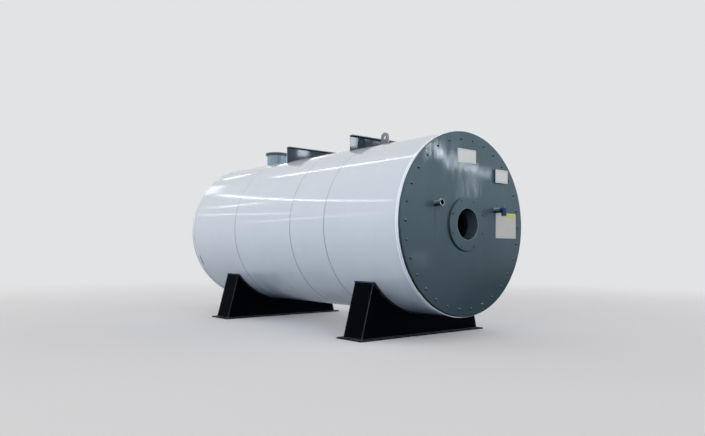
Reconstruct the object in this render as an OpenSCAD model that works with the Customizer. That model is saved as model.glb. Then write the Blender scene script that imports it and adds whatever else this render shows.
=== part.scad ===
// Horizontal oil and gas fired heater drum on two saddles.
// The drum lies along Y with its burner plate facing -Y, and +Z is up.
// The origin is on the ground, in the middle of the footprint.

/* [Drum] */
// Outside diameter of the jacket
jacket_d = 2000; // [1600:50:2400]
// Thickness of the jacket sheet
jacket_t = 4; // [3:0.5:6]
// Length of the first jacket course, counted from the burner plate
course_1 = 1200; // [1100:10:1400]
// Length of the second course
course_2 = 670; // [500:10:1000]
// Length of the third course
course_3 = 1310; // [1200:10:1500]
// Length of the fourth course
course_4 = 1260; // [1100:10:1500]
// Width of the open seam between two courses
seam_w = 3; // [2:0.5:6]
// Length of the joggled tongue that slips under the next course
tongue_len = 30; // [20:5:60]
// Width of the trim band at each end of the jacket
trim_w = 40; // [25:5:60]
// Thickness of the trim band
trim_t = 3; // [2:0.5:5]
// Radius of the rolled edge of the trim band, next to the end plate
trim_roll_r = 7; // [5:0.5:9]

/* [End plates] */
// Thickness of the burner plate and of the rear plate
plate_t = 20; // [12:2:30]
// How far the rim of each plate lies inside the jacket's outside
plate_inset = 2; // [1:1:3]
// Bevel of each plate's outer edge
plate_bevel = 3; // [1:0.5:6]

/* [Burner opening] */
// Diameter of the round opening for the burner head
throat_d = 340; // [240:10:420]
// Wall of the throat sleeve
throat_wall = 8; // [6:1:12]
// Depth of the throat sleeve behind the plate's face
throat_len = 120; // [80:10:160]
// Outside diameter of the burner's mounting ring
ring_d = 580; // [560:10:680]
// Thickness of the mounting ring
ring_t = 25; // [16:1:40]
// Bevel of the mounting ring's outer edge
ring_bevel = 3; // [1:0.5:5]
// Bolt circle of the mounting ring
ring_pcd = 525; // [500:5:540]
// Number of bolt holes in the mounting ring
ring_holes = 8; // [4:2:12]
// Diameter of each bolt hole
ring_hole_d = 18; // [12:2:22]

/* [Furnace] */
// Outside diameter of the furnace tube
furnace_d = 900; // [820:20:1100]
// Wall of the furnace tube
furnace_wall = 12; // [8:1:20]
// Thickness of the lining at the front of the furnace
lining_t = 220; // [180:10:300]
// Thickness of the lining at the back of the furnace
back_lining_t = 120; // [80:10:200]
// Diameter of the flared mouth on the furnace side
quarl_d = 480; // [440:10:560]

/* [Stub pipes] */
// Sideways distance of the left stub from the drum's axis, at the plate's face
stub_left_x = 494; // [460:2:520]
// Height of the left stub above the axis, at the plate's face
stub_left_z = 196; // [160:2:240]
// How far the left stub stands out of the plate
stub_left_out = 102; // [80:2:140]
// Rise of the left stub's outer end, in degrees
stub_left_tilt = 6; // [0:1:12]
// Sideways distance of the right stub from the drum's axis
stub_right_x = 488; // [460:4:520]
// Height of the right stub above the axis
stub_right_z = 170; // [160:5:200]
// How far the right stub stands out of the plate
stub_right_out = 86; // [70:2:140]
// Outside diameter of a stub pipe
stub_d = 60; // [56:2:64]
// Wall of a stub pipe
stub_wall = 7; // [4:1:10]
// How far both stubs reach in behind the plate
stub_in = 40; // [20:5:80]
// Outside diameter of the collar on the left stub
collar_d = 80; // [70:2:110]
// Length of the collar
collar_len = 16; // [10:2:40]

/* [Valve] */
// Length of the valve's inlet, from the middle of its barrel to the stub's end
inlet_len = 45; // [45:1:60]
// Diameter of the valve's barrel
valve_d = 58; // [52:2:60]
// Height of the barrel's top above the stub's axis
barrel_up = 20; // [20:1:30]
// Reach of the barrel below the stub's axis
barrel_down = 52; // [40:1:60]
// Bevel round the barrel's top and foot
barrel_bevel = 3; // [2:0.5:4]
// Width across flats of the valve's hexagon ends
valve_hex = 50; // [48:1:56]
// Length of each hexagon end
valve_hex_len = 14; // [10:1:14]
// Diameter of the necks behind the hexagons
valve_neck_d = 32; // [28:1:34]
// Diameter of the valve's mouth, which opens downwards
valve_mouth_d = 36; // [26:2:38]
// Depth of the mouth, up to the closed seat
valve_mouth_len = 24; // [16:2:30]
// Width across flats of the stem's gland nut
gland_hex = 30; // [26:1:34]
// Height of the gland nut above the barrel
gland_h = 5; // [4:1:7]
// Diameter of the lever's stem
stem_d = 16; // [12:1:18]
// Height of the stem above the barrel
stem_h = 12; // [12:1:24]
// Diameter of the lever
lever_d = 12; // [8:1:13]
// Length of the lever, up to the middle of its knob
lever_len = 22; // [18:2:60]
// Diameter of the lever's knob
knob_d = 18; // [15:1:28]
// Lean of the lever towards the plate, in degrees from upright
lever_lean = 14; // [0:2:30]

/* [Flue] */
// Distance of the flue's axis from the face of the burner plate
flue_y = 3700; // [3500:10:3900]
// Outside diameter of the flue neck
flue_d = 290; // [240:10:400]
// Wall of the flue neck
flue_wall = 8; // [5:1:10]
// Height of the flue neck above the crest of the jacket
flue_h = 180; // [120:10:300]
// How far the neck reaches down inside the jacket
flue_in = 60; // [50:5:120]
// Overhang of the rim ring round the neck
flue_rim_w = 25; // [20:1:50]
// Thickness of the rim ring
flue_rim_t = 36; // [20:2:60]
// Bevel of the rim ring's edges
flue_rim_bevel = 3; // [1:0.5:5]

/* [Top supports] */
// Distance of the front support from the face of the burner plate
support_1_y = 1517; // [1400:1:1700]
// Distance of the rear support from the face of the burner plate
support_2_y = 2776; // [2500:1:2900]
// Width of the front support
support_1_w = 750; // [600:10:900]
// Width of the rear support
support_2_w = 890; // [600:10:1000]
// Height of both supports above the crest of the jacket
support_h = 125; // [90:5:200]
// Thickness of the support's upright plate
support_t = 10; // [8:1:16]
// Width of the support's top flange, along the drum
support_flange_w = 60; // [40:5:140]
// Thickness of the support's top flange
support_flange_t = 10; // [8:1:16]

/* [Lifting lugs] */
// How far the front lug stands behind the first seam
lug_1_past = 70; // [40:5:120]
// How far the rear lug stands ahead of the third seam
lug_2_short = 10; // [0:5:60]
// Width of a lug's head, along the drum
lug_w = 120; // [90:5:140]
// Width of a lug's foot, along the drum
lug_foot_w = 140; // [90:5:180]
// Thickness of a lug
lug_t = 22; // [16:1:40]
// Height of a lug above the crest
lug_h = 169; // [140:1:220]
// Diameter of the lug's eye
lug_eye_d = 50; // [30:1:60]

/* [Saddles] */
// Distance of the front saddle's middle from the face of the burner plate
saddle_1_y = 770; // [600:10:900]
// Distance of the rear saddle's middle from the face of the burner plate
saddle_2_y = 3620; // [3500:10:3800]
// Width of a saddle, along the drum
saddle_w = 300; // [240:10:400]
// Clear height between the ground and the jacket
foot_h = 250; // [200:10:400]
// Half of the angle that a saddle wraps round the jacket
wrap_half = 51; // [45:1:58]
// Thickness of the curved pad between the saddle and the jacket
pad_t = 8; // [6:1:14]
// Overhang of the pad beyond the saddle's plates
pad_lip = 20; // [10:5:40]
// Thickness of the saddle's plates
web_t = 10; // [8:1:16]
// Slope of the end plates, as run over rise
end_slope = 0.27; // [0.1:0.01:0.4]
// How far the webs lie back from the edges of the end plates
web_inset = 6; // [4:1:15]
// Thickness of the base plate
base_t = 16; // [12:1:24]
// Overhang of the base plate beyond the saddle's plates
base_lip = 55; // [50:5:80]
// Diameter of an anchor hole
anchor_d = 26; // [18:2:32]

/* [Bare plates] */
// Size of the rating plate, across and up
rating_size = [300, 147];
// Sideways distance of the rating plate's middle from the axis
rating_x = 10; // [-40:5:40]
// How far the middle of the rating plate lies below the jacket's crest
rating_down = 264; // [240:2:300]
// Size of the side plate, across and up
side_size = [222, 148];
// How far the middle of the side plate lies in from the jacket's side
side_in = 415; // [395:5:460]
// Height of the middle of the side plate above the axis
side_up = 557; // [480:1:600]
// How far the side plate's bracket stands off the burner plate
side_off = 25; // [10:1:40]
// Size of the instruction board, across and up
board_size = [370, 285];
// How far the middle of the instruction board lies in from the jacket's side
board_in = 300; // [290:5:330]
// Height of the middle of the instruction board above the axis
board_up = 3; // [-60:1:10]
// Thickness of the three plates
sign_t = 2; // [1:0.5:4]
// Wall of the folded bracket under the side plate
bracket_wall = 3; // [2:0.5:5]

/* [Hidden] */
$fn = 180;
// Clearance between curved pieces that seat on one another
seat = 0.3;
// Extra reach of a cutter beyond what it cuts
over = 1;

jacket_r = jacket_d / 2;
plate_r = jacket_r - plate_inset;
axis_z = jacket_r + foot_h;
body_len = course_1 + course_2 + course_3 + course_4;
total_len = body_len + 2 * plate_t;
lug_1_y = plate_t + course_1 + lug_1_past;
lug_2_y = plate_t + course_1 + course_2 + course_3 - lug_2_short;
front_reach = stub_right_out + inlet_len + valve_d / 2;
face_y = (front_reach - total_len) / 2;

// Where each course starts, from the face of the burner plate
course_starts = [
    plate_t,
    plate_t + course_1,
    plate_t + course_1 + course_2,
    plate_t + course_1 + course_2 + course_3
];
course_lens = [course_1, course_2, course_3, course_4];

throat_r = throat_d / 2;
sleeve_r = throat_r + throat_wall;
furnace_r = furnace_d / 2;
furnace_in_r = furnace_r - furnace_wall;
stub_r = stub_d / 2;

rating_at = [rating_x, jacket_r - rating_down];
side_at = [jacket_r - side_in, side_up];
board_at = [jacket_r - board_in, board_up];

saddle_half = saddle_w / 2;
pad_r = jacket_r + seat + pad_t;
pad_half = saddle_half + pad_lip;
// The upper end of a saddle's end plate, where it meets the pad
end_top = [pad_r * sin(wrap_half), -pad_r * cos(wrap_half)];
base_top = base_t - axis_z;
end_foot_x = end_top[0] + end_slope * (end_top[1] - base_top);
base_half = end_foot_x + base_lip;
anchor_x = base_half - base_lip / 2;
anchor_y = saddle_half + base_lip / 2;

WHITE = [0.86, 0.88, 0.90];
GREY = [0.36, 0.43, 0.46];
STEEL = [0.62, 0.68, 0.72];
BLACK = [0.05, 0.05, 0.06];
LINING = [0.72, 0.66, 0.56];
BLUE = [0.13, 0.27, 0.50];
PLATE = [0.82, 0.80, 0.77];

// Puts what is drawn from the middle of the burner plate's face into the part's frame
module from_face() {
    translate([0, face_y, axis_z]) children();
}

// Extrudes a front elevation, drawn in X and Z, from y over a length
module elevation(y, len) {
    translate([0, y + len, 0]) rotate([90, 0, 0]) linear_extrude(len) children();
}

// A round bar along Y
module bar(r, y, len) {
    translate([0, y, 0]) rotate([-90, 0, 0]) cylinder(r = r, h = len);
}

// A pipe along Y
module pipe(r_out, r_in, y, len) {
    difference() {
        bar(r_out, y, len);
        bar(r_in, y - over, len + 2 * over);
    }
}

// Turns a profile of [radius, y] points round the Y axis
module turned(points) {
    rotate([-90, 0, 0]) rotate_extrude() polygon(points);
}

// A jacket course, with a tongue that slips under the next course
module jacket_course(i) {
    y = course_starts[i];
    has_next = i < len(course_lens) - 1;
    y_end = y + course_lens[i] - (has_next ? seam_w : 0);
    tongue_r = jacket_r - jacket_t - seat;
    joggle = jacket_r - 2 * jacket_t - seat;
    color(WHITE) from_face() difference() {
        union() {
            bar(jacket_r, y, y_end - y);
            if (has_next) bar(tongue_r, y, y_end - y + tongue_len);
        }
        bar(jacket_r - jacket_t, y - over, y_end - y + over - (has_next ? tongue_len : -over));
        if (has_next) bar(joggle, y, y_end - y + tongue_len + over);
        if (i == len(course_lens) - 1) flue_cut();
    }
}

// The round hole that the flue neck passes through
module flue_cut() {
    translate([0, flue_y, 0]) cylinder(r = flue_d / 2 + seat, h = jacket_r + over);
}

// A trim band from y over its width, with a rolled edge at its low side, or its high side
module trim_band(y, roll_low) {
    r_in = jacket_r + seat;
    y_roll = roll_low ? y + trim_roll_r : y + trim_w - trim_roll_r;
    color(WHITE) from_face() difference() {
        union() {
            bar(r_in + trim_t, y, trim_w);
            translate([0, y_roll, 0]) rotate([-90, 0, 0]) rotate_extrude()
                translate([r_in, 0]) circle(r = trim_roll_r);
        }
        bar(r_in, y - over, trim_w + 2 * over);
    }
}

// A round end plate from y over its thickness, with its outer edge bevelled at the front or at the rear
module end_plate(y, bevel_front) {
    rim_in = plate_r - plate_bevel;
    y_end = y + plate_t;
    turned(bevel_front
        ? [[0, y], [rim_in, y], [plate_r, y + plate_bevel], [plate_r, y_end], [0, y_end]]
        : [[0, y], [plate_r, y], [plate_r, y_end - plate_bevel], [rim_in, y_end], [0, y_end]]);
}

module front_plate() {
    color(GREY) from_face() difference() {
        end_plate(0, true);
        bar(sleeve_r + seat, -over, plate_t + 2 * over);
        at_stub(true) bar(stub_r + seat, -2 * plate_t, 4 * plate_t);
        at_stub(false) bar(stub_r + seat, -2 * plate_t, 4 * plate_t);
    }
}

module rear_plate() {
    color(GREY) from_face() end_plate(total_len - plate_t, false);
}

module burner_ring() {
    ring_r = ring_d / 2;
    color(GREY) from_face() difference() {
        turned([
            [throat_r, -ring_t], [ring_r - ring_bevel, -ring_t], [ring_r, -ring_t + ring_bevel],
            [ring_r, 0], [throat_r, 0]
        ]);
        for (i = [0:ring_holes - 1]) rotate([0, (i + 0.5) * 360 / ring_holes, 0])
            translate([ring_pcd / 2, 0, 0]) bar(ring_hole_d / 2, -ring_t - over, ring_t + 2 * over);
    }
}

module throat_sleeve() {
    color(GREY) from_face() pipe(sleeve_r, throat_r, 0, throat_len);
}

// The front lining, drilled for the sleeve and flared into the furnace
module front_lining() {
    bore_r = sleeve_r + seat;
    outer_r = furnace_in_r - seat;
    back_y = plate_t + lining_t;
    color(LINING) from_face() turned([
        [bore_r, plate_t], [outer_r, plate_t], [outer_r, back_y], [quarl_d / 2, back_y],
        [throat_r, throat_len + seat], [bore_r, throat_len + seat]
    ]);
}

module furnace_tube() {
    color(BLACK) from_face() pipe(furnace_r, furnace_in_r, plate_t, body_len);
}

module back_lining() {
    color(LINING) from_face()
        bar(furnace_in_r - seat, total_len - plate_t - back_lining_t, back_lining_t);
}

// Puts what is drawn along Y on the axis of the left stub, or of the right one
module at_stub(left) {
    if (left) translate([-stub_left_x, 0, stub_left_z]) rotate([-stub_left_tilt, 0, 0]) children();
    else translate([stub_right_x, 0, stub_right_z]) children();
}

// A stub pipe through the burner plate
module stub_pipe(left) {
    out = left ? stub_left_out : stub_right_out;
    color(GREY) from_face() at_stub(left)
        pipe(stub_r, stub_r - stub_wall, -out, out + plate_t + stub_in);
}

module left_stub_collar() {
    color(GREY) from_face() at_stub(true)
        pipe(collar_d / 2, stub_r + seat, -stub_left_out, collar_len);
}

// Puts what is drawn from the middle of the valve's barrel into the part's frame
module from_valve() {
    from_face() at_stub(false) translate([0, -stub_right_out - inlet_len, 0]) children();
}

// A hexagon across its flats, from z over a height
module hexagon(across, z, h) {
    translate([0, 0, z]) cylinder(d = across / cos(30), h = h, $fn = 6);
}

// An angle valve: inlet from the right stub, outlet downwards, shut by its seat
module valve_body() {
    neck_r = valve_neck_d / 2;
    barrel_r = valve_d / 2;
    c = barrel_bevel;
    foot = -barrel_down - valve_hex_len;
    color(BLUE) from_valve() difference() {
        union() {
            rotate([-90, 0, 0]) {
                cylinder(r = neck_r, h = inlet_len);
                hexagon(valve_hex, inlet_len - valve_hex_len, valve_hex_len);
            }
            rotate_extrude() polygon([
                [0, -barrel_down], [barrel_r - c, -barrel_down], [barrel_r, c - barrel_down],
                [barrel_r, barrel_up - c], [barrel_r - c, barrel_up], [0, barrel_up]
            ]);
            hexagon(valve_hex, foot, valve_hex_len + over);
            hexagon(gland_hex, barrel_up - over, gland_h + over);
        }
        translate([0, 0, foot - over]) cylinder(d = valve_mouth_d, h = valve_mouth_len + over);
        translate([0, 0, barrel_up]) cylinder(r = stem_d / 2 + seat, h = gland_h + over);
    }
}

// The lever on its stem, on the crown of the barrel
module valve_lever() {
    color(STEEL) from_valve() translate([0, 0, barrel_up + seat]) {
        cylinder(d = stem_d, h = stem_h - seat);
        translate([0, 0, stem_h - seat]) rotate([-lever_lean, 0, 0]) {
            sphere(r = stem_d / 2 + over);
            cylinder(d = lever_d, h = lever_len);
            translate([0, 0, lever_len]) sphere(d = knob_d);
        }
    }
}

module flue_neck() {
    color(STEEL) from_face() translate([0, flue_y, jacket_r - flue_in]) difference() {
        cylinder(r = flue_d / 2, h = flue_in + flue_h);
        translate([0, 0, -over]) cylinder(r = flue_d / 2 - flue_wall, h = flue_in + flue_h + 2 * over);
    }
}

module flue_rim() {
    r_in = flue_d / 2 + seat;
    r_out = flue_d / 2 + flue_rim_w;
    c = flue_rim_bevel;
    color(STEEL) from_face() translate([0, flue_y, jacket_r + flue_h - flue_rim_t])
        rotate_extrude() polygon([
            [r_in, 0], [r_out - c, 0], [r_out, c], [r_out, flue_rim_t - c],
            [r_out - c, flue_rim_t], [r_in, flue_rim_t]
        ]);
}

// The upright plate of a top support, cut to sit on the jacket
module support_plate(y, w) {
    top = jacket_r + support_h - support_flange_t;
    color(GREY) from_face() difference() {
        elevation(y - support_t / 2, support_t)
            translate([-w / 2, 0]) square([w, top]);
        bar(jacket_r + seat, y - support_t, 2 * support_t);
    }
}

// The top flange, flush with the upright plate's rear face and proud of it at the front
module support_flange(y, w) {
    rear = y + support_t / 2;
    color(GREY) from_face()
        translate([-w / 2, rear - support_flange_w, jacket_r + support_h - support_flange_t])
            cube([w, support_flange_w, support_flange_t]);
}

// A lifting lug in the plane of the drum's axis, with a round head and an eye
module lifting_lug(y) {
    head_r = lug_w / 2;
    head_z = jacket_r + lug_h - head_r;
    color(GREY) from_face() difference() {
        translate([-lug_t / 2, y, 0]) {
            rotate([90, 0, 90]) linear_extrude(lug_t) polygon([
                [-lug_foot_w / 2, jacket_r - over * 2], [lug_foot_w / 2, jacket_r - over * 2],
                [head_r, head_z], [-head_r, head_z]
            ]);
            translate([0, 0, head_z]) rotate([0, 90, 0]) cylinder(r = head_r, h = lug_t);
        }
        translate([-lug_t, y, head_z]) rotate([0, 90, 0]) cylinder(d = lug_eye_d, h = 2 * lug_t);
        bar(jacket_r + seat, y - lug_foot_w, 2 * lug_foot_w);
    }
}

// The wedge under the drum that a saddle's pad wraps
module wrap_sector() {
    reach = 2 * jacket_r;
    polygon([[0, 0], [-reach * sin(wrap_half), -reach * cos(wrap_half)],
             [0, -2 * reach], [reach * sin(wrap_half), -reach * cos(wrap_half)]]);
}

module saddle_pad(y) {
    color(BLACK) from_face() intersection() {
        pipe(pad_r, jacket_r + seat, y - pad_half, 2 * pad_half);
        elevation(y - pad_half - over, 2 * (pad_half + over)) wrap_sector();
    }
}

// The two upright webs, cut round below the pad
module saddle_webs(y) {
    in_x = web_t / cos(atan(end_slope)) + seat;
    foot = end_foot_x - in_x;
    head = end_top[0] - in_x;
    starts = [y - saddle_half + web_inset, y + saddle_half - web_inset - web_t];
    color(BLACK) from_face() for (start = starts) difference() {
        elevation(start, web_t)
            polygon([[-foot, base_top], [foot, base_top], [head, end_top[1]], [-head, end_top[1]]]);
        bar(pad_r + seat, start - over, web_t + 2 * over);
    }
}

// The two sloping end plates
module saddle_ends(y) {
    run = web_t / cos(atan(end_slope));
    color(BLACK) from_face() for (side = [-1, 1]) difference() {
        elevation(y - saddle_half, saddle_w) polygon([
            [side * end_foot_x, base_top], [side * end_top[0], end_top[1]],
            [side * (end_top[0] - run), end_top[1]], [side * (end_foot_x - run), base_top]
        ]);
        bar(pad_r + seat, y - saddle_w, 2 * saddle_w);
    }
}

module saddle_base(y) {
    half_y = saddle_half + base_lip;
    color(BLACK) from_face() translate([0, y, -axis_z]) difference() {
        translate([-base_half, -half_y, 0]) cube([2 * base_half, 2 * half_y, base_t]);
        for (sx = [-1, 1], sy = [-1, 1])
            translate([sx * anchor_x, sy * anchor_y, -over]) cylinder(d = anchor_d, h = base_t + 2 * over);
    }
}

// A bare plate on a face, by its middle and its size
module sign_plate(at, size, y_back) {
    color(PLATE) from_face() elevation(y_back - sign_t, sign_t)
        translate([at[0] - size[0] / 2, at[1] - size[1] / 2]) square(size);
}

// The folded tray that holds the side plate off the burner plate
module side_plate_bracket() {
    w = bracket_wall;
    color(GREY) from_face() elevation(-side_off, side_off)
        translate([side_at[0] - side_size[0] / 2, side_at[1] - side_size[1] / 2]) difference() {
            square(side_size);
            translate([w, w]) square([side_size[0] - 2 * w, side_size[1] - 2 * w]);
        }
}

jacket_course(0);  // jacket_course_1
jacket_course(1);  // jacket_course_2
jacket_course(2);  // jacket_course_3
jacket_course(3);  // jacket_course_4
trim_band(plate_t, true);  // front_trim_band
trim_band(total_len - plate_t - trim_w, false);  // rear_trim_band
front_plate();
rear_plate();
burner_ring();
throat_sleeve();
front_lining();
furnace_tube();
back_lining();
stub_pipe(true);  // left_stub_pipe
left_stub_collar();
stub_pipe(false);  // right_stub_pipe
valve_body();
valve_lever();
flue_neck();
flue_rim();
support_plate(support_1_y, support_1_w);  // front_support_plate
support_flange(support_1_y, support_1_w);  // front_support_flange
support_plate(support_2_y, support_2_w);  // rear_support_plate
support_flange(support_2_y, support_2_w);  // rear_support_flange
lifting_lug(lug_1_y);  // front_lifting_lug
lifting_lug(lug_2_y);  // rear_lifting_lug
saddle_pad(saddle_1_y);  // front_saddle_pad
saddle_webs(saddle_1_y);  // front_saddle_webs
saddle_ends(saddle_1_y);  // front_saddle_ends
saddle_base(saddle_1_y);  // front_saddle_base
saddle_pad(saddle_2_y);  // rear_saddle_pad
saddle_webs(saddle_2_y);  // rear_saddle_webs
saddle_ends(saddle_2_y);  // rear_saddle_ends
saddle_base(saddle_2_y);  // rear_saddle_base
sign_plate(rating_at, rating_size, 0);  // rating_plate
sign_plate(side_at, side_size, -side_off);  // side_plate
side_plate_bracket();
sign_plate(board_at, board_size, 0);  // instruction_board
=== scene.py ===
"""Looks of a horizontal fired boiler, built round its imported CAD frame.

The drum lies along Y with its burner plate facing -Y. All sizes are in metres.
"""

from __future__ import annotations

import logging
import math
from dataclasses import dataclass, field
from enum import Enum
from fnmatch import fnmatchcase
from functools import reduce
from typing import Any, Dict, List, NamedTuple, Optional, Sequence, Tuple, Union

import bmesh
import bpy
from mathutils import Matrix, Vector

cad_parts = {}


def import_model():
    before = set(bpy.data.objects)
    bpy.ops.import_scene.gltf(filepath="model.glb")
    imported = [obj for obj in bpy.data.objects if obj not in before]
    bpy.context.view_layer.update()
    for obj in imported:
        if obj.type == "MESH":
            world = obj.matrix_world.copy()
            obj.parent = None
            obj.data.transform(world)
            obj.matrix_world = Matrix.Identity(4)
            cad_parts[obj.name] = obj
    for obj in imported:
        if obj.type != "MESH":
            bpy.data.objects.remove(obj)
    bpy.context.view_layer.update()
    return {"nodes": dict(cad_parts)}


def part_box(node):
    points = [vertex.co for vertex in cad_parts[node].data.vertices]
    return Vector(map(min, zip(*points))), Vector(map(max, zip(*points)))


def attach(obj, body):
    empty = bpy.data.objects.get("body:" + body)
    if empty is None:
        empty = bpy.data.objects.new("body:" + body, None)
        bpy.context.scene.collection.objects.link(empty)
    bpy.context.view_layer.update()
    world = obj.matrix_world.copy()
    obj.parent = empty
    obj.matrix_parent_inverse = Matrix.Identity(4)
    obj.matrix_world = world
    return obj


LOG = logging.getLogger("boiler")
BODY = "root"
FULL_TURN = 2.0 * math.pi
BEAD_GAP = 0.001

Colour = Tuple[float, float, float]
Point = Tuple[float, float, float]
Sockets = Dict[Union[int, str], Any]


class Slot(Enum):
    """The record's material slots."""

    GREY = "grey_paint"
    BLACK = "black_paint"
    BARE = "bare_steel"
    FLUE = "flue_steel"
    PLATE = "plate_metal"


class Facing(Enum):
    """Which way a fastener's head points, as the turn that brings +Z there."""

    FRONT = (math.pi / 2, 0.0, 0.0)
    REAR = (-math.pi / 2, 0.0, 0.0)


class Finish(Enum):
    """The finishes, by the names of their materials."""

    JACKET = "white_jacket_sheet"
    TRIM = "white_trim_enamel"
    FACE = "grey_face_enamel"
    FITTING = "grey_fitting_enamel"
    SUPPORT = "grey_support_enamel"
    FLANGE = "grey_flange_enamel"
    STUB = "grey_stub_enamel"
    LUG = "galvanised_lug"
    SADDLE = "black_saddle_paint"
    VALVE = "blue_valve_enamel"
    RIVET = "zinc_rivet"
    SCREW = "painted_screw"
    LEVER = "bare_lever_steel"
    FLUE = "painted_flue_steel"
    FLUE_RIM = "dark_rim_enamel"
    FURNACE = "scaled_furnace_steel"
    LINING = "rammed_lining"
    HEADER = "yellow_header"
    RATING_PLATE = "rating_plate_face"
    SIDE_PLATE = "side_plate_face"
    BOARD = "instruction_board_face"


NODE_FINISHES: Dict[str, Finish] = {
    "jacket_course_*": Finish.JACKET,
    "*_trim_band": Finish.TRIM,
    "front_plate": Finish.FACE,
    "rear_plate": Finish.FACE,
    "burner_ring": Finish.FACE,
    "*_saddle_*": Finish.SADDLE,
    "*_lifting_lug": Finish.LUG,
    "*_support_plate": Finish.SUPPORT,
    "*_support_flange": Finish.FLANGE,
    "*_lining": Finish.LINING,
    "furnace_tube": Finish.FURNACE,
    "*_stub_*": Finish.STUB,
    "valve_body": Finish.VALVE,
    "valve_lever": Finish.LEVER,
    "flue_neck": Finish.FLUE,
    "flue_rim": Finish.FLUE_RIM,
    "rating_plate": Finish.RATING_PLATE,
    "side_plate": Finish.SIDE_PLATE,
    "instruction_board": Finish.BOARD,
    "*": Finish.FITTING,
}


def chart(red: float, green: float, blue: float) -> Colour:
    """Turns a paint chart's colour into a shader's linear one.

    Args:
        red: Red, 0 to 255.
        green: Green, 0 to 255.
        blue: Blue, 0 to 255.

    Returns:
        The linear colour.
    """

    def one(value: float) -> float:
        """Straightens one channel."""
        share = value / 255.0
        return share / 12.92 if share <= 0.04045 else ((share + 0.055) / 1.055) ** 2.4

    return one(red), one(green), one(blue)


def scaled(colour: Colour, share: Union[float, Colour]) -> Colour:
    """Makes a colour paler or deeper.

    Args:
        colour: The colour.
        share: What is left of it, for all channels or for each.

    Returns:
        The new colour.
    """
    shares = share if isinstance(share, tuple) else (share, share, share)
    red, green, blue = (channel * part for channel, part in zip(colour, shares))
    return red, green, blue


class Sock:
    """An output socket that builds Math nodes when it is used in an expression."""

    def __init__(self, writer: NodeWriter, link: bpy.types.NodeSocket) -> None:
        """Keeps the socket and the writer of its tree."""
        self.writer = writer
        self.link = link

    def _math(self, operation: str, *values: Value, clamp: bool = False) -> Sock:
        """Adds one Math node.

        Args:
            operation: The node's operation.
            values: Its inputs, in order.
            clamp: Whether the result stays between 0 and 1.

        Returns:
            The node's result.
        """
        settings = {"operation": operation, "use_clamp": clamp}
        made = self.writer.node("ShaderNodeMath", settings, dict(enumerate(values)))
        return Sock(self.writer, made.outputs[0])

    def __add__(self, other: Value) -> Sock:
        """Adds."""
        return self._math("ADD", self, other)

    __radd__ = __add__

    def __sub__(self, other: Value) -> Sock:
        """Subtracts."""
        return self._math("SUBTRACT", self, other)

    def __rsub__(self, other: Value) -> Sock:
        """Subtracts this from a number."""
        return self._math("SUBTRACT", other, self)

    def __mul__(self, other: Value) -> Sock:
        """Multiplies."""
        return self._math("MULTIPLY", self, other)

    __rmul__ = __mul__

    def __truediv__(self, other: Value) -> Sock:
        """Divides."""
        return self._math("DIVIDE", self, other)

    def __abs__(self) -> Sock:
        """Drops the sign."""
        return self._math("ABSOLUTE", self)

    def __pow__(self, other: Value) -> Sock:
        """Raises to a power."""
        return self._math("POWER", self, other)

    def sine(self) -> Sock:
        """The sine of an angle in radians."""
        return self._math("SINE", self)

    def angle_to(self, other: Value) -> Sock:
        """The angle whose tangent is this over other."""
        return self._math("ARCTAN2", self, other)

    def larger(self, other: Value) -> Sock:
        """The larger of two values."""
        return self._math("MAXIMUM", self, other)

    def smaller(self, other: Value) -> Sock:
        """The smaller of two values."""
        return self._math("MINIMUM", self, other)

    def held(self) -> Sock:
        """The value kept between 0 and 1."""
        return self._math("ADD", self, 0.0, clamp=True)

    def rise(self, start: float, end: float) -> Sock:
        """A soft step from 0 at start to 1 at end.

        Args:
            start: Where the step is still 0.
            end: Where it has reached 1; below start for a falling step.

        Returns:
            The step's value.
        """
        rising = start < end
        sockets = {
            "Value": self,
            "From Min": min(start, end),
            "From Max": max(start, end),
            "To Min": float(not rising),
            "To Max": float(rising),
        }
        made = self.writer.node("ShaderNodeMapRange", {"interpolation_type": "SMOOTHSTEP"}, sockets)
        return Sock(self.writer, made.outputs[0])


Value = Union[Sock, float, int]


def largest(values: Sequence[Sock]) -> Sock:
    """The largest of several values."""
    return reduce(Sock.larger, values)


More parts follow.
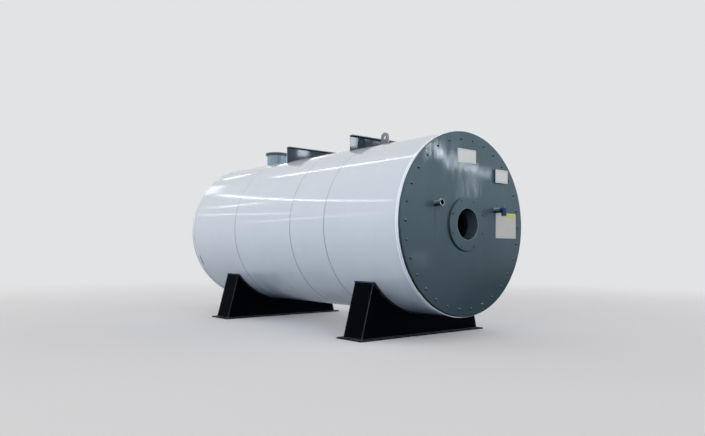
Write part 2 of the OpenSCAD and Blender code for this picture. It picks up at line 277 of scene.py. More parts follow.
class NodeWriter:
    """Adds nodes to a tree."""

    def __init__(self, tree: bpy.types.NodeTree) -> None:
        """Keeps the tree."""
        self.tree = tree

    def node(
        self, kind: str, settings: Optional[Dict[str, Any]] = None, sockets: Optional[Sockets] = None
    ) -> bpy.types.Node:
        """Adds one node.

        Args:
            kind: The node's type.
            settings: Its own settings, set first.
            sockets: Values or links of its inputs, by name or place.

        Returns:
            The node.
        """
        made = self.tree.nodes.new(kind)
        for name, value in (settings or {}).items():
            setattr(made, name, value)
        for key, value in (sockets or {}).items():
            socket = made.inputs[key]
            if isinstance(value, Sock):
                self.tree.links.new(value.link, socket)
            elif isinstance(value, bpy.types.NodeSocket):
                self.tree.links.new(value, socket)
            else:
                socket.default_value = value
        return made

    def vector(self, x: Value, y: Value, z: Value) -> Sock:
        """Joins three values to one vector."""
        made = self.node("ShaderNodeCombineXYZ", {}, {0: x, 1: y, 2: z})
        return Sock(self, made.outputs[0])

    def split(self, vector: Union[Sock, bpy.types.NodeSocket]) -> Tuple[Sock, Sock, Sock]:
        """Takes a vector apart."""
        parts = self.node("ShaderNodeSeparateXYZ", {}, {0: vector})
        return Sock(self, parts.outputs[0]), Sock(self, parts.outputs[1]), Sock(self, parts.outputs[2])

    def mix(self, share: Value, first: Union[Sock, Colour], second: Union[Sock, Colour]) -> Sock:
        """Blends two colours.

        Args:
            share: 0 for the first colour, 1 for the second.
            first: A colour.
            second: Another colour.

        Returns:
            The blend.
        """
        # A Mix node's colours are its inputs 6 and 7 and its output 2.
        sockets: Sockets = {0: share}
        for index, colour in ((6, first), (7, second)):
            sockets[index] = colour if isinstance(colour, Sock) else (*colour, 1.0)
        made = self.node("ShaderNodeMix", {"data_type": "RGBA"}, sockets)
        return Sock(self, made.outputs[2])

    def lit(self, kind: str, colour: Union[Sock, Colour]) -> bpy.types.NodeSocket:
        """Adds a plain shader of one colour: BsdfDiffuse, Emission or Background."""
        tint = colour if isinstance(colour, Sock) else (*colour, 1.0)
        return self.node("ShaderNode" + kind, {}, {"Color": tint}).outputs[0]

    def cover(
        self, share: Value, first: bpy.types.NodeSocket, second: bpy.types.NodeSocket
    ) -> bpy.types.NodeSocket:
        """Mixes two shaders, from the first at 0 to the second at 1."""
        return self.node("ShaderNodeMixShader", {}, {0: share, 1: first, 2: second}).outputs[0]


class Shade(NodeWriter):
    """A material's shader tree."""

    def __init__(self, name: str) -> None:
        """Makes an empty material."""
        self.material = bpy.data.materials.new(name)
        self.material.use_nodes = True
        super().__init__(self.material.node_tree)
        self.tree.nodes.clear()
        self.place = self.node("ShaderNodeTexCoord").outputs["Object"]

    def axes(self) -> Tuple[Sock, Sock, Sock]:
        """The piece's own X, Y and Z, in metres."""
        return self.split(self.place)

    def noise(
        self, scale: float, detail: float = 2.0, vector: Optional[Sock] = None, roughness: float = 0.5
    ) -> Sock:
        """Smooth noise, 0 to 1.

        Args:
            scale: Features for each metre.
            detail: Octaves.
            vector: Where to read it, or None for the piece's own place.
            roughness: Weight of the finer octaves.

        Returns:
            The noise.
        """
        sockets = {"Vector": vector or self.place, "Scale": scale, "Detail": detail, "Roughness": roughness}
        made = self.node("ShaderNodeTexNoise", {}, sockets)
        return Sock(self, made.outputs[0])

    def specks(self, scale: float, size: float, vector: Sock) -> Sock:
        """Round specks, 1 in their middle.

        Args:
            scale: Cells for each metre.
            size: A speck's radius as a share of its cell.
            vector: Where to read them.

        Returns:
            The specks' mask.
        """
        made = self.node("ShaderNodeTexVoronoi", {}, {"Vector": vector, "Scale": scale})
        return Sock(self, made.outputs["Distance"]).rise(size, size * 0.4)

    def bump(self, height: Sock, depth: float, under: Optional[Sock] = None) -> Sock:
        """Turns a height into a normal.

        Args:
            height: The height, 0 to 1.
            depth: What a height of 1 stands for.
            under: A normal to start from.

        Returns:
            The normal.
        """
        sockets: Sockets = {"Height": height, "Distance": depth, "Strength": 1.0}
        if under is not None:
            sockets["Normal"] = under
        return Sock(self, self.node("ShaderNodeBump", {}, sockets).outputs[0])

    def close(self, surface: bpy.types.NodeSocket) -> bpy.types.Material:
        """Ends the tree in one surface and gives back the material."""
        self.node("ShaderNodeOutputMaterial", {}, {"Surface": surface})
        return self.material


class GeoTree(NodeWriter):
    """A Geometry Nodes tree with named inputs."""

    def __init__(self, name: str) -> None:
        """Makes an empty tree with its geometry and material inputs."""
        super().__init__(bpy.data.node_groups.new(name, "GeometryNodeTree"))
        face = self.tree.interface
        face.new_socket("Geometry", in_out="INPUT", socket_type="NodeSocketGeometry")
        face.new_socket("Geometry", in_out="OUTPUT", socket_type="NodeSocketGeometry")
        item = face.new_socket("Material", in_out="INPUT", socket_type="NodeSocketMaterial")
        self.keys: Dict[str, str] = {"Material": item.identifier}
        self.source = self.tree.nodes.new("NodeGroupInput")

    def entry(self, name: str, kind: str, value: Any) -> Sock:
        """Adds a named input.

        Args:
            name: What the input is called.
            kind: Float, Int or Vector.
            value: Its first value.

        Returns:
            The input, for use in the tree.
        """
        item = self.tree.interface.new_socket(name, in_out="INPUT", socket_type="NodeSocket" + kind)
        item.default_value = value
        self.keys[name] = item.identifier
        return Sock(self, self.source.outputs[name])

    def shape(self, kind: str, sockets: Sockets) -> bpy.types.NodeSocket:
        """Adds a node that makes or changes a shape, and gives back the shape."""
        return self.node("GeometryNode" + kind, {}, sockets).outputs[0]

    def joined(self, parts: Sequence[bpy.types.NodeSocket]) -> bpy.types.NodeSocket:
        """Joins several shapes to one.

        Args:
            parts: The shapes.

        Returns:
            The one shape.
        """
        join = self.node("GeometryNodeJoinGeometry")
        for part in parts:
            self.tree.links.new(part, join.inputs[0])
        return join.outputs[0]

    def close(self, geometry: bpy.types.NodeSocket) -> None:
        """Ends the tree in Realize Instances and Set Material.

        Args:
            geometry: The shape that the tree ends with.
        """
        real =self.shape("RealizeInstances", {0: geometry})
        dressed = self.shape("SetMaterial", {"Geometry": real, "Material": self.source.outputs["Material"]})
        self.node("NodeGroupOutput", {}, {0: dressed})

    def grow(
        self, name: str, values: Dict[str, Any], start: Optional[bpy.types.Mesh] = None
    ) -> bpy.types.Object:
        """Runs the tree and keeps the result as a plain mesh.

        Args:
            name: The new piece's name.
            values: The inputs' values by name.
            start: The mesh that goes in, or None for an empty one.

        Returns:
            The new piece.
        """
        carrier = link_mesh(name + "_start", start or bpy.data.meshes.new(name + "_start"))
        modifier = carrier.modifiers.new("grow", "NODES")
        modifier.node_group = self.tree
        for label, value in values.items():
            modifier[self.keys[label]] = value
        graph = bpy.context.evaluated_depsgraph_get()
        mesh = bpy.data.meshes.new_from_object(carrier.evaluated_get(graph), depsgraph=graph)
        carrier.modifiers.remove(modifier)
        bpy.data.objects.remove(carrier)
        mesh.name = name
        return link_mesh(name, mesh)


def link_mesh(name: str, mesh: bpy.types.Mesh) -> bpy.types.Object:
    """Puts a mesh in the scene as an object at the origin.

    Args:
        name: The object's name.
        mesh: Its mesh.

    Returns:
        The object.
    """
    piece = bpy.data.objects.new(name, mesh)
    bpy.context.scene.collection.objects.link(piece)
    return piece


def hold(piece: bpy.types.Object) -> None:
    """Rides a piece on the drum and reports it.

    Args:
        piece: The piece.
    """
    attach(piece, BODY)
    LOG.info("piece %s: %d faces", piece.name, len(piece.data.polygons))


@dataclass(frozen=True)
class Layout:
    """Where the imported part's main forms lie.

    Attributes:
        face_y: Front of the burner plate.
        rear_y: Back of the rear plate.
        axis_z: Height of the drum's axis.
        jacket_r: Radius of the jacket.
        plate_r: Radius of the end plates.
        ring_r: Radius of the mounting ring.
        ring_t: Thickness of the mounting ring.
        seams: Places of the jacket's ring seams.
        body: Both ends of the jacket.
    """

    face_y: float
    rear_y: float
    axis_z: float
    jacket_r: float
    plate_r: float
    ring_r: float
    ring_t: float
    seams: Tuple[float, ...]
    body: Tuple[float, float]

    @classmethod
    def read(cls) -> Layout:
        """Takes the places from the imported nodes.

        Returns:
            The layout.
        """
        face, rear, ring = (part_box(node) for node in ("front_plate", "rear_plate", "burner_ring"))
        courses = [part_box(f"jacket_course_{number}") for number in (1, 2, 3, 4)]
        low, high = courses[0]
        return cls(
            face_y=face[0].y,
            rear_y=rear[1].y,
            axis_z=(low.z + high.z) / 2,
            jacket_r=(high.x - low.x) / 2,
            plate_r=face[1].x,
            ring_r=ring[1].x,
            ring_t=face[0].y - ring[0].y,
            seams=tuple(course[0].y for course in courses[1:]),
            body=(low.y, courses[-1][1].y),
        )

    def on_jacket(self, angle: float, y: float) -> Point:
        """The point on the jacket at an angle from the crest towards +X."""
        return self.jacket_r * math.sin(angle), y, self.axis_z + self.jacket_r * math.cos(angle)

    def above(self, x: float, y: float) -> Point:
        """The point on the jacket straight above x."""
        return x, y, self.axis_z + math.sqrt(self.jacket_r**2 - x * x)


@dataclass(frozen=True)
class Coat:
    """A finish, worked out from each point's own place on the boiler.

    Attributes:
        name: Which finish it is.
    """

    name: Finish

    def surface(self, shade: Shade) -> Sockets:
        """Works out what the surface shader gets.

        Args:
            shade: The material's tree.

        Returns:
            The shader's values and links.
        """
        raise NotImplementedError

    def build(self) -> bpy.types.Material:
        """Makes the material.

        Returns:
            The material.
        """
        shade = Shade(self.name.value)
        return shade.close(shade.node("ShaderNodeBsdfPrincipled", {}, self.surface(shade)).outputs[0])


@dataclass(frozen=True)
class JacketSheet(Coat):
    """White gloss sheet, rolled round the drum, with roll marks, a little road dust, and joint lines with
    painted shade in them.

    Attributes:
        layout: Where the seams lie.
        colour: The sheet's paint.
        grime: Dust and specks.
        joint: The joint lines' colour, dark as painted shade.
        rubbed: The scrape near the rear rim.
        lap: How far a joint line lies before its course's edge.
        trim_w: Distance of a trim band's joint line from the jacket's end.
        scrape: The scrape's angle from the crest and its distance from the burner plate.
        gloss: The clean sheet's roughness.
        wave: Height of the roll waves.
        peel: Height of the paint's orange peel.
        wrap: Share of the arc that a roll mark's pattern uses, so that it goes round the drum.
        course_shift: How far the wave pattern jumps from one course to the next.
    """

    layout: Layout
    colour: Colour = chart(206, 209, 213)
    grime: Colour = chart(120, 122, 122)
    joint: Colour = chart(58, 64, 70)
    rubbed: Colour = chart(52, 60, 88)
    lap: float = 0.0015
    trim_w: float = 0.0412
    scrape: Tuple[float, float] = (-2.03, 4.365)
    gloss: float = 0.06
    wave: float = 0.0013
    peel: float = 0.00003
    wrap: float = 0.12
    course_shift: float = 7.3

    def seam_gaps(self, y: Sock) -> List[Sock]:
        """The distance from each seam's joint line."""
        return [abs(y - (seam - self.lap)) for seam in self.layout.seams]

    def joints(self, y: Sock) -> Sock:
        """A mask of the thin dark lines at the seams and beside the trim bands, which paint shade into these
        joints.

        Args:
            y: Place along the drum.

        Returns:
            The mask.
        """
        front, rear = self.layout.body
        lines = [gap.rise(0.0052, 0.0030) for gap in self.seam_gaps(y)]
        lines += [abs(y - trim).rise(0.0032, 0.0012) for trim in (front + self.trim_w, rear - self.trim_w)]
        return largest(lines)

    def dust(self, y: Sock, low: Sock, cloud: Sock, fine: Sock) -> Sock:
        """A mask of the dust on the low side and beside the seams.

        Args:
            y: Place along the drum.
            low: 1 on the drum's low side.
            cloud: Broad noise.
            fine: Fine noise.

        Returns:
            The mask.
        """
        beside = largest([gap.rise(0.03, 0.002) for gap in self.seam_gaps(y)])
        return (low * cloud.rise(0.35, 0.75) * 0.28 + beside * fine.rise(0.3, 0.8) * 0.16).held()

    def scraped(self, arc: Sock, y: Sock, fine: Sock) -> Sock:
        """A mask of the scrape near the rear rim.

        Args:
            arc: Place round the drum.
            y: Place along the drum.
            fine: Fine noise.

        Returns:
            The mask.
        """
        angle, back = self.scrape
        rub = abs(arc - angle * self.layout.jacket_r).rise(0.095, 0.050)
        rub = rub * abs(y - self.layout.face_y - back).rise(0.018, 0.008) * (fine * 0.6 + 0.7)
        return (rub * 0.95).held()

    def relief(self, shade: Shade, arc: Sock, y: Sock) -> Sock:
        """The roll waves, other ones on each course, and the paint's orange peel.

        Args:
            shade: The material's tree.
            arc: Place round the drum.
            y: Place along the drum.

        Returns:
            The normal.
        """
        edge = 0.0001
        course: Value = 0.0
        for seam in self.layout.seams:
            course = y.rise(seam - edge, seam + edge) * self.course_shift + course
        bent = shade.vector(arc * self.wrap, y, course)
        hooped = shade.vector(arc, y * 0.25, course)
        rolled = shade.noise(5.0, 1.0, bent) * 0.55 + shade.noise(1.6, 1.0, hooped) * 0.9
        sprayed = shade.noise(420.0, 1.0, shade.vector(arc, y, 0.0))
        return shade.bump(sprayed, self.peel, shade.bump(rolled, self.wave))

    def surface(self, shade: Shade) -> Sockets:
        """Works out the sheet's surface.

        Args:
            shade: The material's tree.

        Returns:
            The shader's values and links.
        """
        x, y, z = shade.axes()
        rise = z - self.layout.axis_z
        fall = 0.0 - rise
        low = fall.rise(0.35, 1.0)
        arc = x.angle_to(rise) * self.layout.jacket_r
        flat = shade.vector(arc, y, 0.0)
        cloud = shade.noise(2.2, 4.0, flat, 0.6)
        streak = shade.noise(9.0, 3.0, shade.vector(arc * self.wrap, y, 0.0), 0.6)
        wash = shade.noise(1.0, 3.0, shade.vector(arc * 0.7, y * 26.0, 0.0), 0.6)
        fine = shade.noise(60.0, 3.0, flat)
        dust = self.dust(y, low, cloud, fine)
        speck = shade.specks(26.0, 0.10, flat) * (low * 0.6 + 0.06)
        tone = shade.mix(cloud.rise(0.3, 0.7), self.colour, scaled(self.colour, 0.965))
        tone = shade.mix(streak.rise(0.45, 0.8) * 0.5, tone, scaled(self.colour, 0.955))
        tone = shade.mix(wash.rise(0.5, 0.75) * 0.5, tone, scaled(self.colour, 0.95))
        tone = shade.mix((dust + speck * 0.5).held(), tone, self.grime)
        tone = shade.mix(self.scraped(arc, y, fine), tone, self.rubbed)
        # Painted shade in the joints, stronger on the drum's low side.
        tone = shade.mix(self.joints(y) * (fall.rise(-0.5, 0.3) * 0.65 + 0.32), tone, self.joint)
        rough = cloud * 0.04 + fine * 0.02 + dust * 0.25 + self.gloss
        return {"Base Color": tone, "Roughness": rough, "IOR": 1.55, "Normal": self.relief(shade, arc, y)}


@dataclass(frozen=True)
class PlateEnamel(Coat):
    """Sprayed gloss enamel on steel plate, slightly wavy, with faint handling marks.

    Attributes:
        colour: The paint.
        shine: Its least roughness.
        wave: Height of the plate's long waves.
        patch: Strength of the paler and deeper patches.
        ior: Its index of refraction, which says how strongly it mirrors.
        lit_top_shaded_under: Painted highlight for the faces that look up and painted shade for those that
            look down, or None.
        bare_end_highlight: Pale tone of the bare ends that look sideways, bright enough to be a painted
            highlight, or None.
        peel: Height of the orange peel.
        brushed: Height of the level brush marks, or 0 for none.
        wear: Strength of the scuffs.
    """

    colour: Colour
    shine: float = 0.2
    wave: float = 0.0012
    patch: float = 0.12
    ior: float = 1.42
    lit_top_shaded_under: Optional[Tuple[Colour, Colour]] = None
    bare_end_highlight: Optional[Colour] = None
    peel: float = 0.00004
    brushed: float = 0.0
    wear: float = 1.0

    def shades(self) -> Tuple[Colour, Colour]:
        """The paler and the deeper tone beside the paint's own."""
        red, green, blue = (min(1.0, channel * 1.22 + 0.006) for channel in self.colour)
        return (red, green, blue), scaled(self.colour, 0.82)

    def painted_slope_light(self, shade: Shade, tone: Sock, cloud: Sock) -> Sock:
        """Paints a highlight on the faces that look up and shade on those that look down, and pales the
        sideways ends.

        Args:
            shade: The material's tree.
            tone: The paint's colour so far.
            cloud: Broad noise.

        Returns:
            The colour.
        """
        side, _, up = shade.split(shade.node("ShaderNodeNewGeometry").outputs["Normal"])
        if self.lit_top_shaded_under:
            # Painted light: a highlight on the faces that look up and shade on those that look down.
            painted_top_light, under = self.lit_top_shaded_under
            tone = shade.mix(up.rise(0.1, 0.9) * (cloud * 0.4 + 0.6), tone, painted_top_light)
            tone = shade.mix(up.rise(-0.05, -0.6), tone, under)
        if self.bare_end_highlight:
            # Pale bare ends on the faces that look sideways, which also paint a highlight there.
            tone = shade.mix(abs(side).rise(0.8, 0.95), tone, self.bare_end_highlight)
        return tone

    def marked(self, shade: Shade, tone: Sock, small: Sock) -> Sock:
        """Adds the marks of a certain place; plain enamel has none.

        Args:
            shade: The material's tree.
            tone: The paint's colour so far.
            small: Small noise, not used by plain enamel.

        Returns:
            The colour with its marks.
        """
        return tone

    def surface(self, shade: Shade) -> Sockets:
        """Works out the enamel's surface.

        Args:
            shade: The material's tree.

        Returns:
            The shader's values and links.
        """
        x, y, z = shade.axes()
        tall = shade.vector(x, y, z * 0.35)
        cloud = shade.noise(3.2, 4.0, tall, 0.6)
        small = shade.noise(26.0, 3.0, None, 0.6)
        pale, deep = self.shades()
        tone = shade.mix(cloud.rise(0.3, 0.75) * (self.patch * 4.0), self.colour, pale)
        tone = shade.mix(small.rise(0.55, 0.85) * self.patch, tone, deep)
        if self.lit_top_shaded_under or self.bare_end_highlight:
            tone = self.painted_slope_light(shade, tone, cloud)
        tone = self.marked(shade, tone, small)
        scuff = shade.noise(90.0, 2.0, shade.vector(x, y, z * 0.1), 0.7).rise(0.66, 0.8)
        tone = shade.mix(scuff * (0.10 * self.wear), tone, pale)
        rough = cloud * 0.05 + (small * 0.03 + scuff * 0.08) * self.wear + self.shine
        normal = shade.bump(shade.noise(2.6, 2.0, tall), self.wave)
        normal = shade.bump(shade.noise(340.0, 1.0), self.peel, normal)
        if self.brushed:
            drawn = shade.noise(1.0, 3.0, shade.vector(x * 12.0, y, z * 1.7), 0.6)
            normal = shade.bump(drawn, self.brushed, normal)
            rough = rough + drawn.rise(0.45, 0.75) * 0.09
        return {"Base Color": tone, "Roughness": rough, "IOR": self.ior, "Normal": normal}


class StubShadow(NamedTuple):
    """A painted shadow streak on the burner plate below a stub: its middle, its upper end and its length."""

    x: float
    top: float
    length: float


@dataclass(frozen=True, kw_only=True)
class BurnerEnamel(PlateEnamel):
    """The end plates' enamel: painted shadow below the stubs, painted shade on the low side and in the bolt
    holes, and a worn throat edge that is also a painted highlight.

    Attributes:
        layout: Where the plates and the ring lie.
        stub_shadows: The painted shadow streaks below the stubs.
        hole_circle: Radius of the circle of bolt holes.
        hole_r: Radius of a bolt hole.
        hole_count: How many bolt holes.
        throat_r: Radius of the throat.
        shade_share: What the painted shade on the low side keeps of each channel.
        hole_shade: Painted shade inside the holes.
        edge_shade: Painted shade on the plate's edge beside the trim band.
        seat_shadow: Painted shadow in the joint under the ring.
        scuffed_edge_highlight: The worn edge of the throat, pale as a painted highlight.
    """

    layout: Layout
    stub_shadows: Tuple[StubShadow, ...]
    hole_circle: float = 0.2625
    hole_r: float = 0.0098
    hole_count: int = 8
    throat_r: float = 0.17
    shade_share: Colour = (0.17, 0.32, 0.37)
    hole_shade: Colour = chart(8, 10, 12)
    edge_shade: Colour = chart(2, 8, 14)
    seat_shadow: Colour = chart(16, 20, 24)
    scuffed_edge_highlight: Colour = chart(176, 186, 194)

    def with_stub_shadows(self, shade: Shade, tone: Sock, front: Sock, small: Sock) -> Sock:
        """Adds the painted shadow streaks below the stubs.

        Args:
            shade: The material's tree.
            tone: The colour so far.
            front: 1 on the burner plate, 0 on the rear one.
            small: Small noise.

        Returns:
            The colour.
        """
        x, _, z = shade.axes()
        # Each streak is a painted shadow below its stub.
        for run in self.stub_shadows:
            drop = z - run.top
            across = abs(x - run.x).rise(0.034, 0.004)
            down = drop.rise(-run.length, -0.02) * drop.rise(0.0, -0.03)
            mark = across * down * front * (small * 0.6 + 0.4)
            tone = shade.mix((mark * 0.45).held(), tone, scaled(self.colour, 0.45))
        return tone

    def with_hole_shade(self, shade: Shade, tone: Sock, height: Sock, depth: Sock) -> Sock:
        """Paints shade inside the ring's bolt holes.

        Args:
            shade: The material's tree.
            tone: The colour so far.
            height: Height above the drum's axis.
            depth: Place behind the burner plate's front.

        Returns:
            The colour.
        """
        x, _, _ = shade.axes()
        inside = depth.rise(0.0022 - self.layout.ring_t, 0.0045 - self.layout.ring_t)
        # Painted shade inside each bolt hole.
        for index in range(self.hole_count):
            turn = (index + 0.5) * FULL_TURN / self.hole_count
            off_x = x - self.hole_circle * math.cos(turn)
            off_z = height - self.hole_circle * math.sin(turn)
            hole = ((off_x * off_x + off_z * off_z) ** 0.5).rise(self.hole_r + 0.0015, self.hole_r)
            tone = shade.mix(hole * inside, tone, self.hole_shade)
        return tone

    def with_edge_shade_and_highlight(self, shade: Shade, tone: Sock, height: Sock, depth: Sock) -> Sock:
        """Adds painted shade on the plate's edge, painted shadow in the joint under the ring, and the
        throat's worn edge as a painted highlight.

        Args:
            shade: The material's tree.
            tone: The colour so far.
            height: Height above the drum's axis.
            depth: Place behind the burner plate's front.

        Returns:
            The colour.
        """
        x, _, _ = shade.axes()
        plate_r, ring_r, ring_t = self.layout.plate_r, self.layout.ring_r, self.layout.ring_t
        reach = (x * x + height * height) ** 0.5
        low = height.rise(0.45, -0.6)
        # Painted shade on the plate's edge, strongest on the low side.
        edge = (reach + low * 0.007).rise(plate_r - 0.009, plate_r - 0.004) * (low * 0.85 + 0.15)
        tone = shade.mix(edge, tone, self.edge_shade)
        # Painted shadow in the joint under the ring, towards its low -X side.
        seat = abs(reach - (ring_r + 0.004)).rise(0.010, 0.002) * (0.35 - height * 1.3 - x * 0.7).held()
        tone = shade.mix(seat, tone, self.seat_shadow)
        # Pale worn line round the throat's edge, which also paints a highlight there.
        rim = abs(reach - self.throat_r).rise(0.0032, 0.0012) * depth.rise(0.004 - ring_t, -ring_t)
        return shade.mix(rim * 0.75, tone, self.scuffed_edge_highlight)

    def marked(self, shade: Shade, tone: Sock, small: Sock) -> Sock:
        """Adds the painted shadows, shade and highlight of the end plates and of the mounting ring.

        Args:
            shade: The material's tree.
            tone: The paint's colour so far.
            small: Small noise, to break the marks up.

        Returns:
            The colour with its marks.
        """
        x, y, z = shade.axes()
        height, depth = z - self.layout.axis_z, y - self.layout.face_y
        front = depth.rise(1.0, 0.5)
        tone = self.with_stub_shadows(shade, tone, front, small)
        # Painted shade: darker towards the bottom, with a painted shadow in the low corner towards +X.
        slope = (0.27 - height * 0.66).held()
        corner = height.rise(-0.30, -0.75) * x.rise(-0.5, 0.6) * front * 0.34
        tone = shade.mix((slope + corner).held(), tone, scaled(self.colour, self.shade_share))
        tone = self.with_hole_shade(shade, tone, height, depth)
        return self.with_edge_shade_and_highlight(shade, tone, height, depth)


@dataclass(frozen=True, kw_only=True)
class TrimEnamel(PlateEnamel):
    """The white trim bands' enamel, with painted shade in the folded bead's groove and along the rear band's
    last edge.

    Attributes:
        layout: Where the jacket's ends lie.
        grooves: Distance of each band's groove from its end of the jacket.
        groove_shade: Painted shade in the grooves.
        edge_shade: Painted shade along the rear band's last edge.
    """

    layout: Layout
    grooves: Tuple[float, float] = (0.017, 0.020)
    groove_shade: Colour = chart(70, 78, 86)
    edge_shade: Colour = chart(44, 42, 44)

    def marked(self, shade: Shade, tone: Sock, small: Sock) -> Sock:
        """Adds painted shade in the grooves and along the rear edge, stronger on the low side.

        Args:
            shade: The material's tree.
            tone: The paint's colour so far.
            small: Small noise, which these marks don't need.

        Returns:
            The colour with its marks.
        """
        _, y, z = shade.axes()
        front, rear = self.layout.body
        low = (z - self.layout.axis_z).rise(0.3, -0.4)
        for groove in (front + self.grooves[0], rear - self.grooves[1]):
            # Painted shade in each groove, stronger on the drum's low side.
            line = abs(y - groove).rise(0.0050, 0.0015) * (low * 0.35 + 0.25)
            tone = shade.mix(line, tone, self.groove_shade)
        return shade.mix((y - rear).rise(-0.013, -0.010) * low, tone, self.edge_shade)


@dataclass(frozen=True, kw_only=True)
class StubEnamel(PlateEnamel):
    """The stub pipes' enamel, with painted shade in the unpainted bore of the open one.

    Attributes:
        layout: Where the burner plate lies.
        root: The open stub's X and height above the drum's axis, at the plate's face.
        slope: Its rise towards the open end.
        bore_r: Radius of its bore.
        bore_shade: Painted shade inside the bore.
    """

    layout: Layout
    root: Tuple[float, float] = (-0.494, 0.196)
    slope: float = 0.105
    bore_r: float = 0.0268
    bore_shade: Colour = chart(5, 6, 8)

    def marked(self, shade: Shade, tone: Sock, small: Sock) -> Sock:
        """Paints shade into the bore.

        Args:
            shade: The material's tree.
            tone: The paint's colour so far.
            small: Small noise, which the bore doesn't need.

        Returns:
            The colour with its marks.
        """
        x, y, z = shade.axes()
        root_x, root_z = self.root
        lift = (self.layout.face_y - y) * self.slope
        across, up = x - root_x, z - (self.layout.axis_z + root_z) - lift
        # Painted shade in the open stub's bore, reaching over its unpainted end.
        bore = ((across * across + up * up) ** 0.5).rise(self.bore_r + 0.0012, self.bore_r)
        return shade.mix(bore, tone, self.bore_shade)


@dataclass(frozen=True)
class SaddlePaint(Coat):
    """Near black shop paint with dust on it, rubbed thin and pale on its edges, which also paints a highlight
    along them.

    Attributes:
        colour: The paint.
        dust: The dust.
        rubbed: The thin paint on the edges, pale enough to be a painted highlight.
        edge: How wide an edge is rubbed.
    """

    colour: Colour = chart(2, 4, 9)
    dust: Colour = chart(40, 42, 44)
    rubbed: Colour = chart(150, 156, 162)
    edge: float = 0.007

    def surface(self, shade: Shade) -> Sockets:
        """Works out the paint's surface.

        Args:
            shade: The material's tree.

        Returns:
            The shader's values and links.
        """
        cloud = shade.noise(7.0, 4.0, None, 0.65)
        fine = shade.noise(120.0, 2.0)
        tone = shade.mix(cloud.rise(0.5, 0.85) * 0.04, self.colour, self.dust)
        tone = shade.mix(fine.rise(0.6, 0.8) * 0.03, tone, self.dust)
        # Pale rubbed edges, which also stand as painted highlights along them.
        soft = shade.node("ShaderNodeBevel", {"samples": 6}, {0: self.edge}).outputs[0]
        true = shade.node("ShaderNodeNewGeometry").outputs["Normal"]
        likeness = shade.node("ShaderNodeVectorMath", {"operation": "DOT_PRODUCT"}, {0: soft, 1: true})
        scuffed_edge_highlight = Sock(shade, likeness.outputs["Value"]).rise(0.97, 0.80) * (fine * 0.5 + 0.5)
        tone = shade.mix(scuffed_edge_highlight * 0.8, tone, self.rubbed)
        normal = shade.bump(shade.noise(200.0, 2.0), 0.00012)
        rough = cloud * 0.2 + fine * 0.08 + 0.30
        return {"Base Color": tone, "Roughness": rough, "IOR": 1.06, "Normal": normal}


@dataclass(frozen=True)
class Metal(Coat):
    """Bare or plated steel with grain and dull spots.

    Attributes:
        colour: The metal.
        shine: Its least roughness.
        metallic: How metallic it is where it is clean.
        grain: Features of its grain for each metre, along X, Y and Z.
        spread: What the grain's darker part keeps of the colour.
        depth: Height of the grain.
    """

    colour: Colour
    shine: float = 0.3
    metallic: float = 1.0
    grain: Point = (60.0, 60.0, 60.0)
    spread: float = 0.84
    depth: float = 0.00005

    def surface(self, shade: Shade) -> Sockets:
        """Works out the metal's surface.

        Args:
            shade: The material's tree.

        Returns:
            The shader's values and links.
        """
        ground = shade.vector(*(axis * scale for axis, scale in zip(shade.axes(), self.grain)))
        grain = shade.noise(1.0, 3.0, ground, 0.6)
        dull = shade.noise(18.0, 3.0)
        tone = shade.mix(grain.rise(0.2, 0.8), scaled(self.colour, self.spread), self.colour)
        tone = shade.mix(dull.rise(0.55, 0.8) * 0.35, tone, scaled(self.colour, 0.55))
        metal = self.metallic - dull.rise(0.6, 0.85) * 0.25 * self.metallic
        rough = grain * 0.12 + dull * 0.14 + self.shine
        normal = shade.bump(grain, self.depth)
        return {"Base Color": tone, "Roughness": rough, "Metallic": metal, "Normal": normal}


@dataclass(frozen=True)
class Refractory(Coat):
    """Rammed lining, with painted shade that darkens it towards the burner's throat.

    Attributes:
        layout: Where the burner plate lies.
        colour: The clean lining.
        throat_shade: The painted shade near the throat.
    """

    layout: Layout
    colour: Colour = chart(176, 164, 144)
    throat_shade: Colour = chart(34, 36, 40)

    def surface(self, shade: Shade) -> Sockets:
        """Works out the lining's surface.

        Args:
            shade: The material's tree.

        Returns:
            The shader's values and links.
        """
        _, y, _ = shade.axes()
        near = (y - self.layout.face_y).rise(0.9, 0.2)
        lumps = shade.noise(34.0, 4.0, None, 0.65)
        grit = shade.noise(260.0, 2.0)
        tone = shade.mix(lumps, scaled(self.colour, 0.8), self.colour)
        # Painted shade: the lining darkens towards the throat.
        tone = shade.mix((near * 0.92 + lumps * 0.12).held(), tone, self.throat_shade)
        normal = shade.bump(grit, 0.0006, shade.bump(lumps, 0.004))
        return {"Base Color": tone, "Roughness": lumps * 0.1 + 0.85, "Normal": normal}


@dataclass(frozen=True)
class BarePlate(Coat):
    """A plain label plate: pale face with a printed border line, nothing written on it.

    Attributes:
        node: The plate's node.
        colour: Its face.
        inset: Distance of the border line from the edge.
        line: The border line.
        rim: The bright sheared edge.
        width: Half the border line's width.
    """

    node: str
    colour: Colour
    inset: float
    line: Colour = chart(120, 116, 112)
    rim: Colour = chart(236, 236, 236)
    width: float = 0.0025

    def surface(self, shade: Shade) -> Sockets:
        """Works out the plate's surface.

        Args:
            shade: The material's tree.

        Returns:
            The shader's values and links.
        """
        low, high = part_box(self.node)
        x, _, z = shade.axes()
        edge_x = (high.x - low.x) / 2 - abs(x - (low.x + high.x) / 2)
        edge_z = (high.z - low.z) / 2 - abs(z - (low.z + high.z) / 2)
        edge = edge_x.smaller(edge_z)
        border = abs(edge - self.inset).rise(self.width, self.width * 0.4)
        cloud = shade.noise(16.0, 4.0, None, 0.6)
        brushed = shade.noise(1.0, 2.0, shade.vector(x * 18.0, 0.0, z * 900.0))
        tone = shade.mix(cloud.rise(0.35, 0.8) * 0.35, self.colour, scaled(self.colour, 0.84))
        tone = shade.mix(edge.rise(0.01, 0.0) * 0.4, tone, self.rim)
        tone = shade.mix(border * 0.7, tone, self.line)
        rough = cloud * 0.18 + brushed * 0.08 + 0.28
        return {"Base Color": tone, "Roughness": rough, "Normal": shade.bump(brushed, 0.00002)}


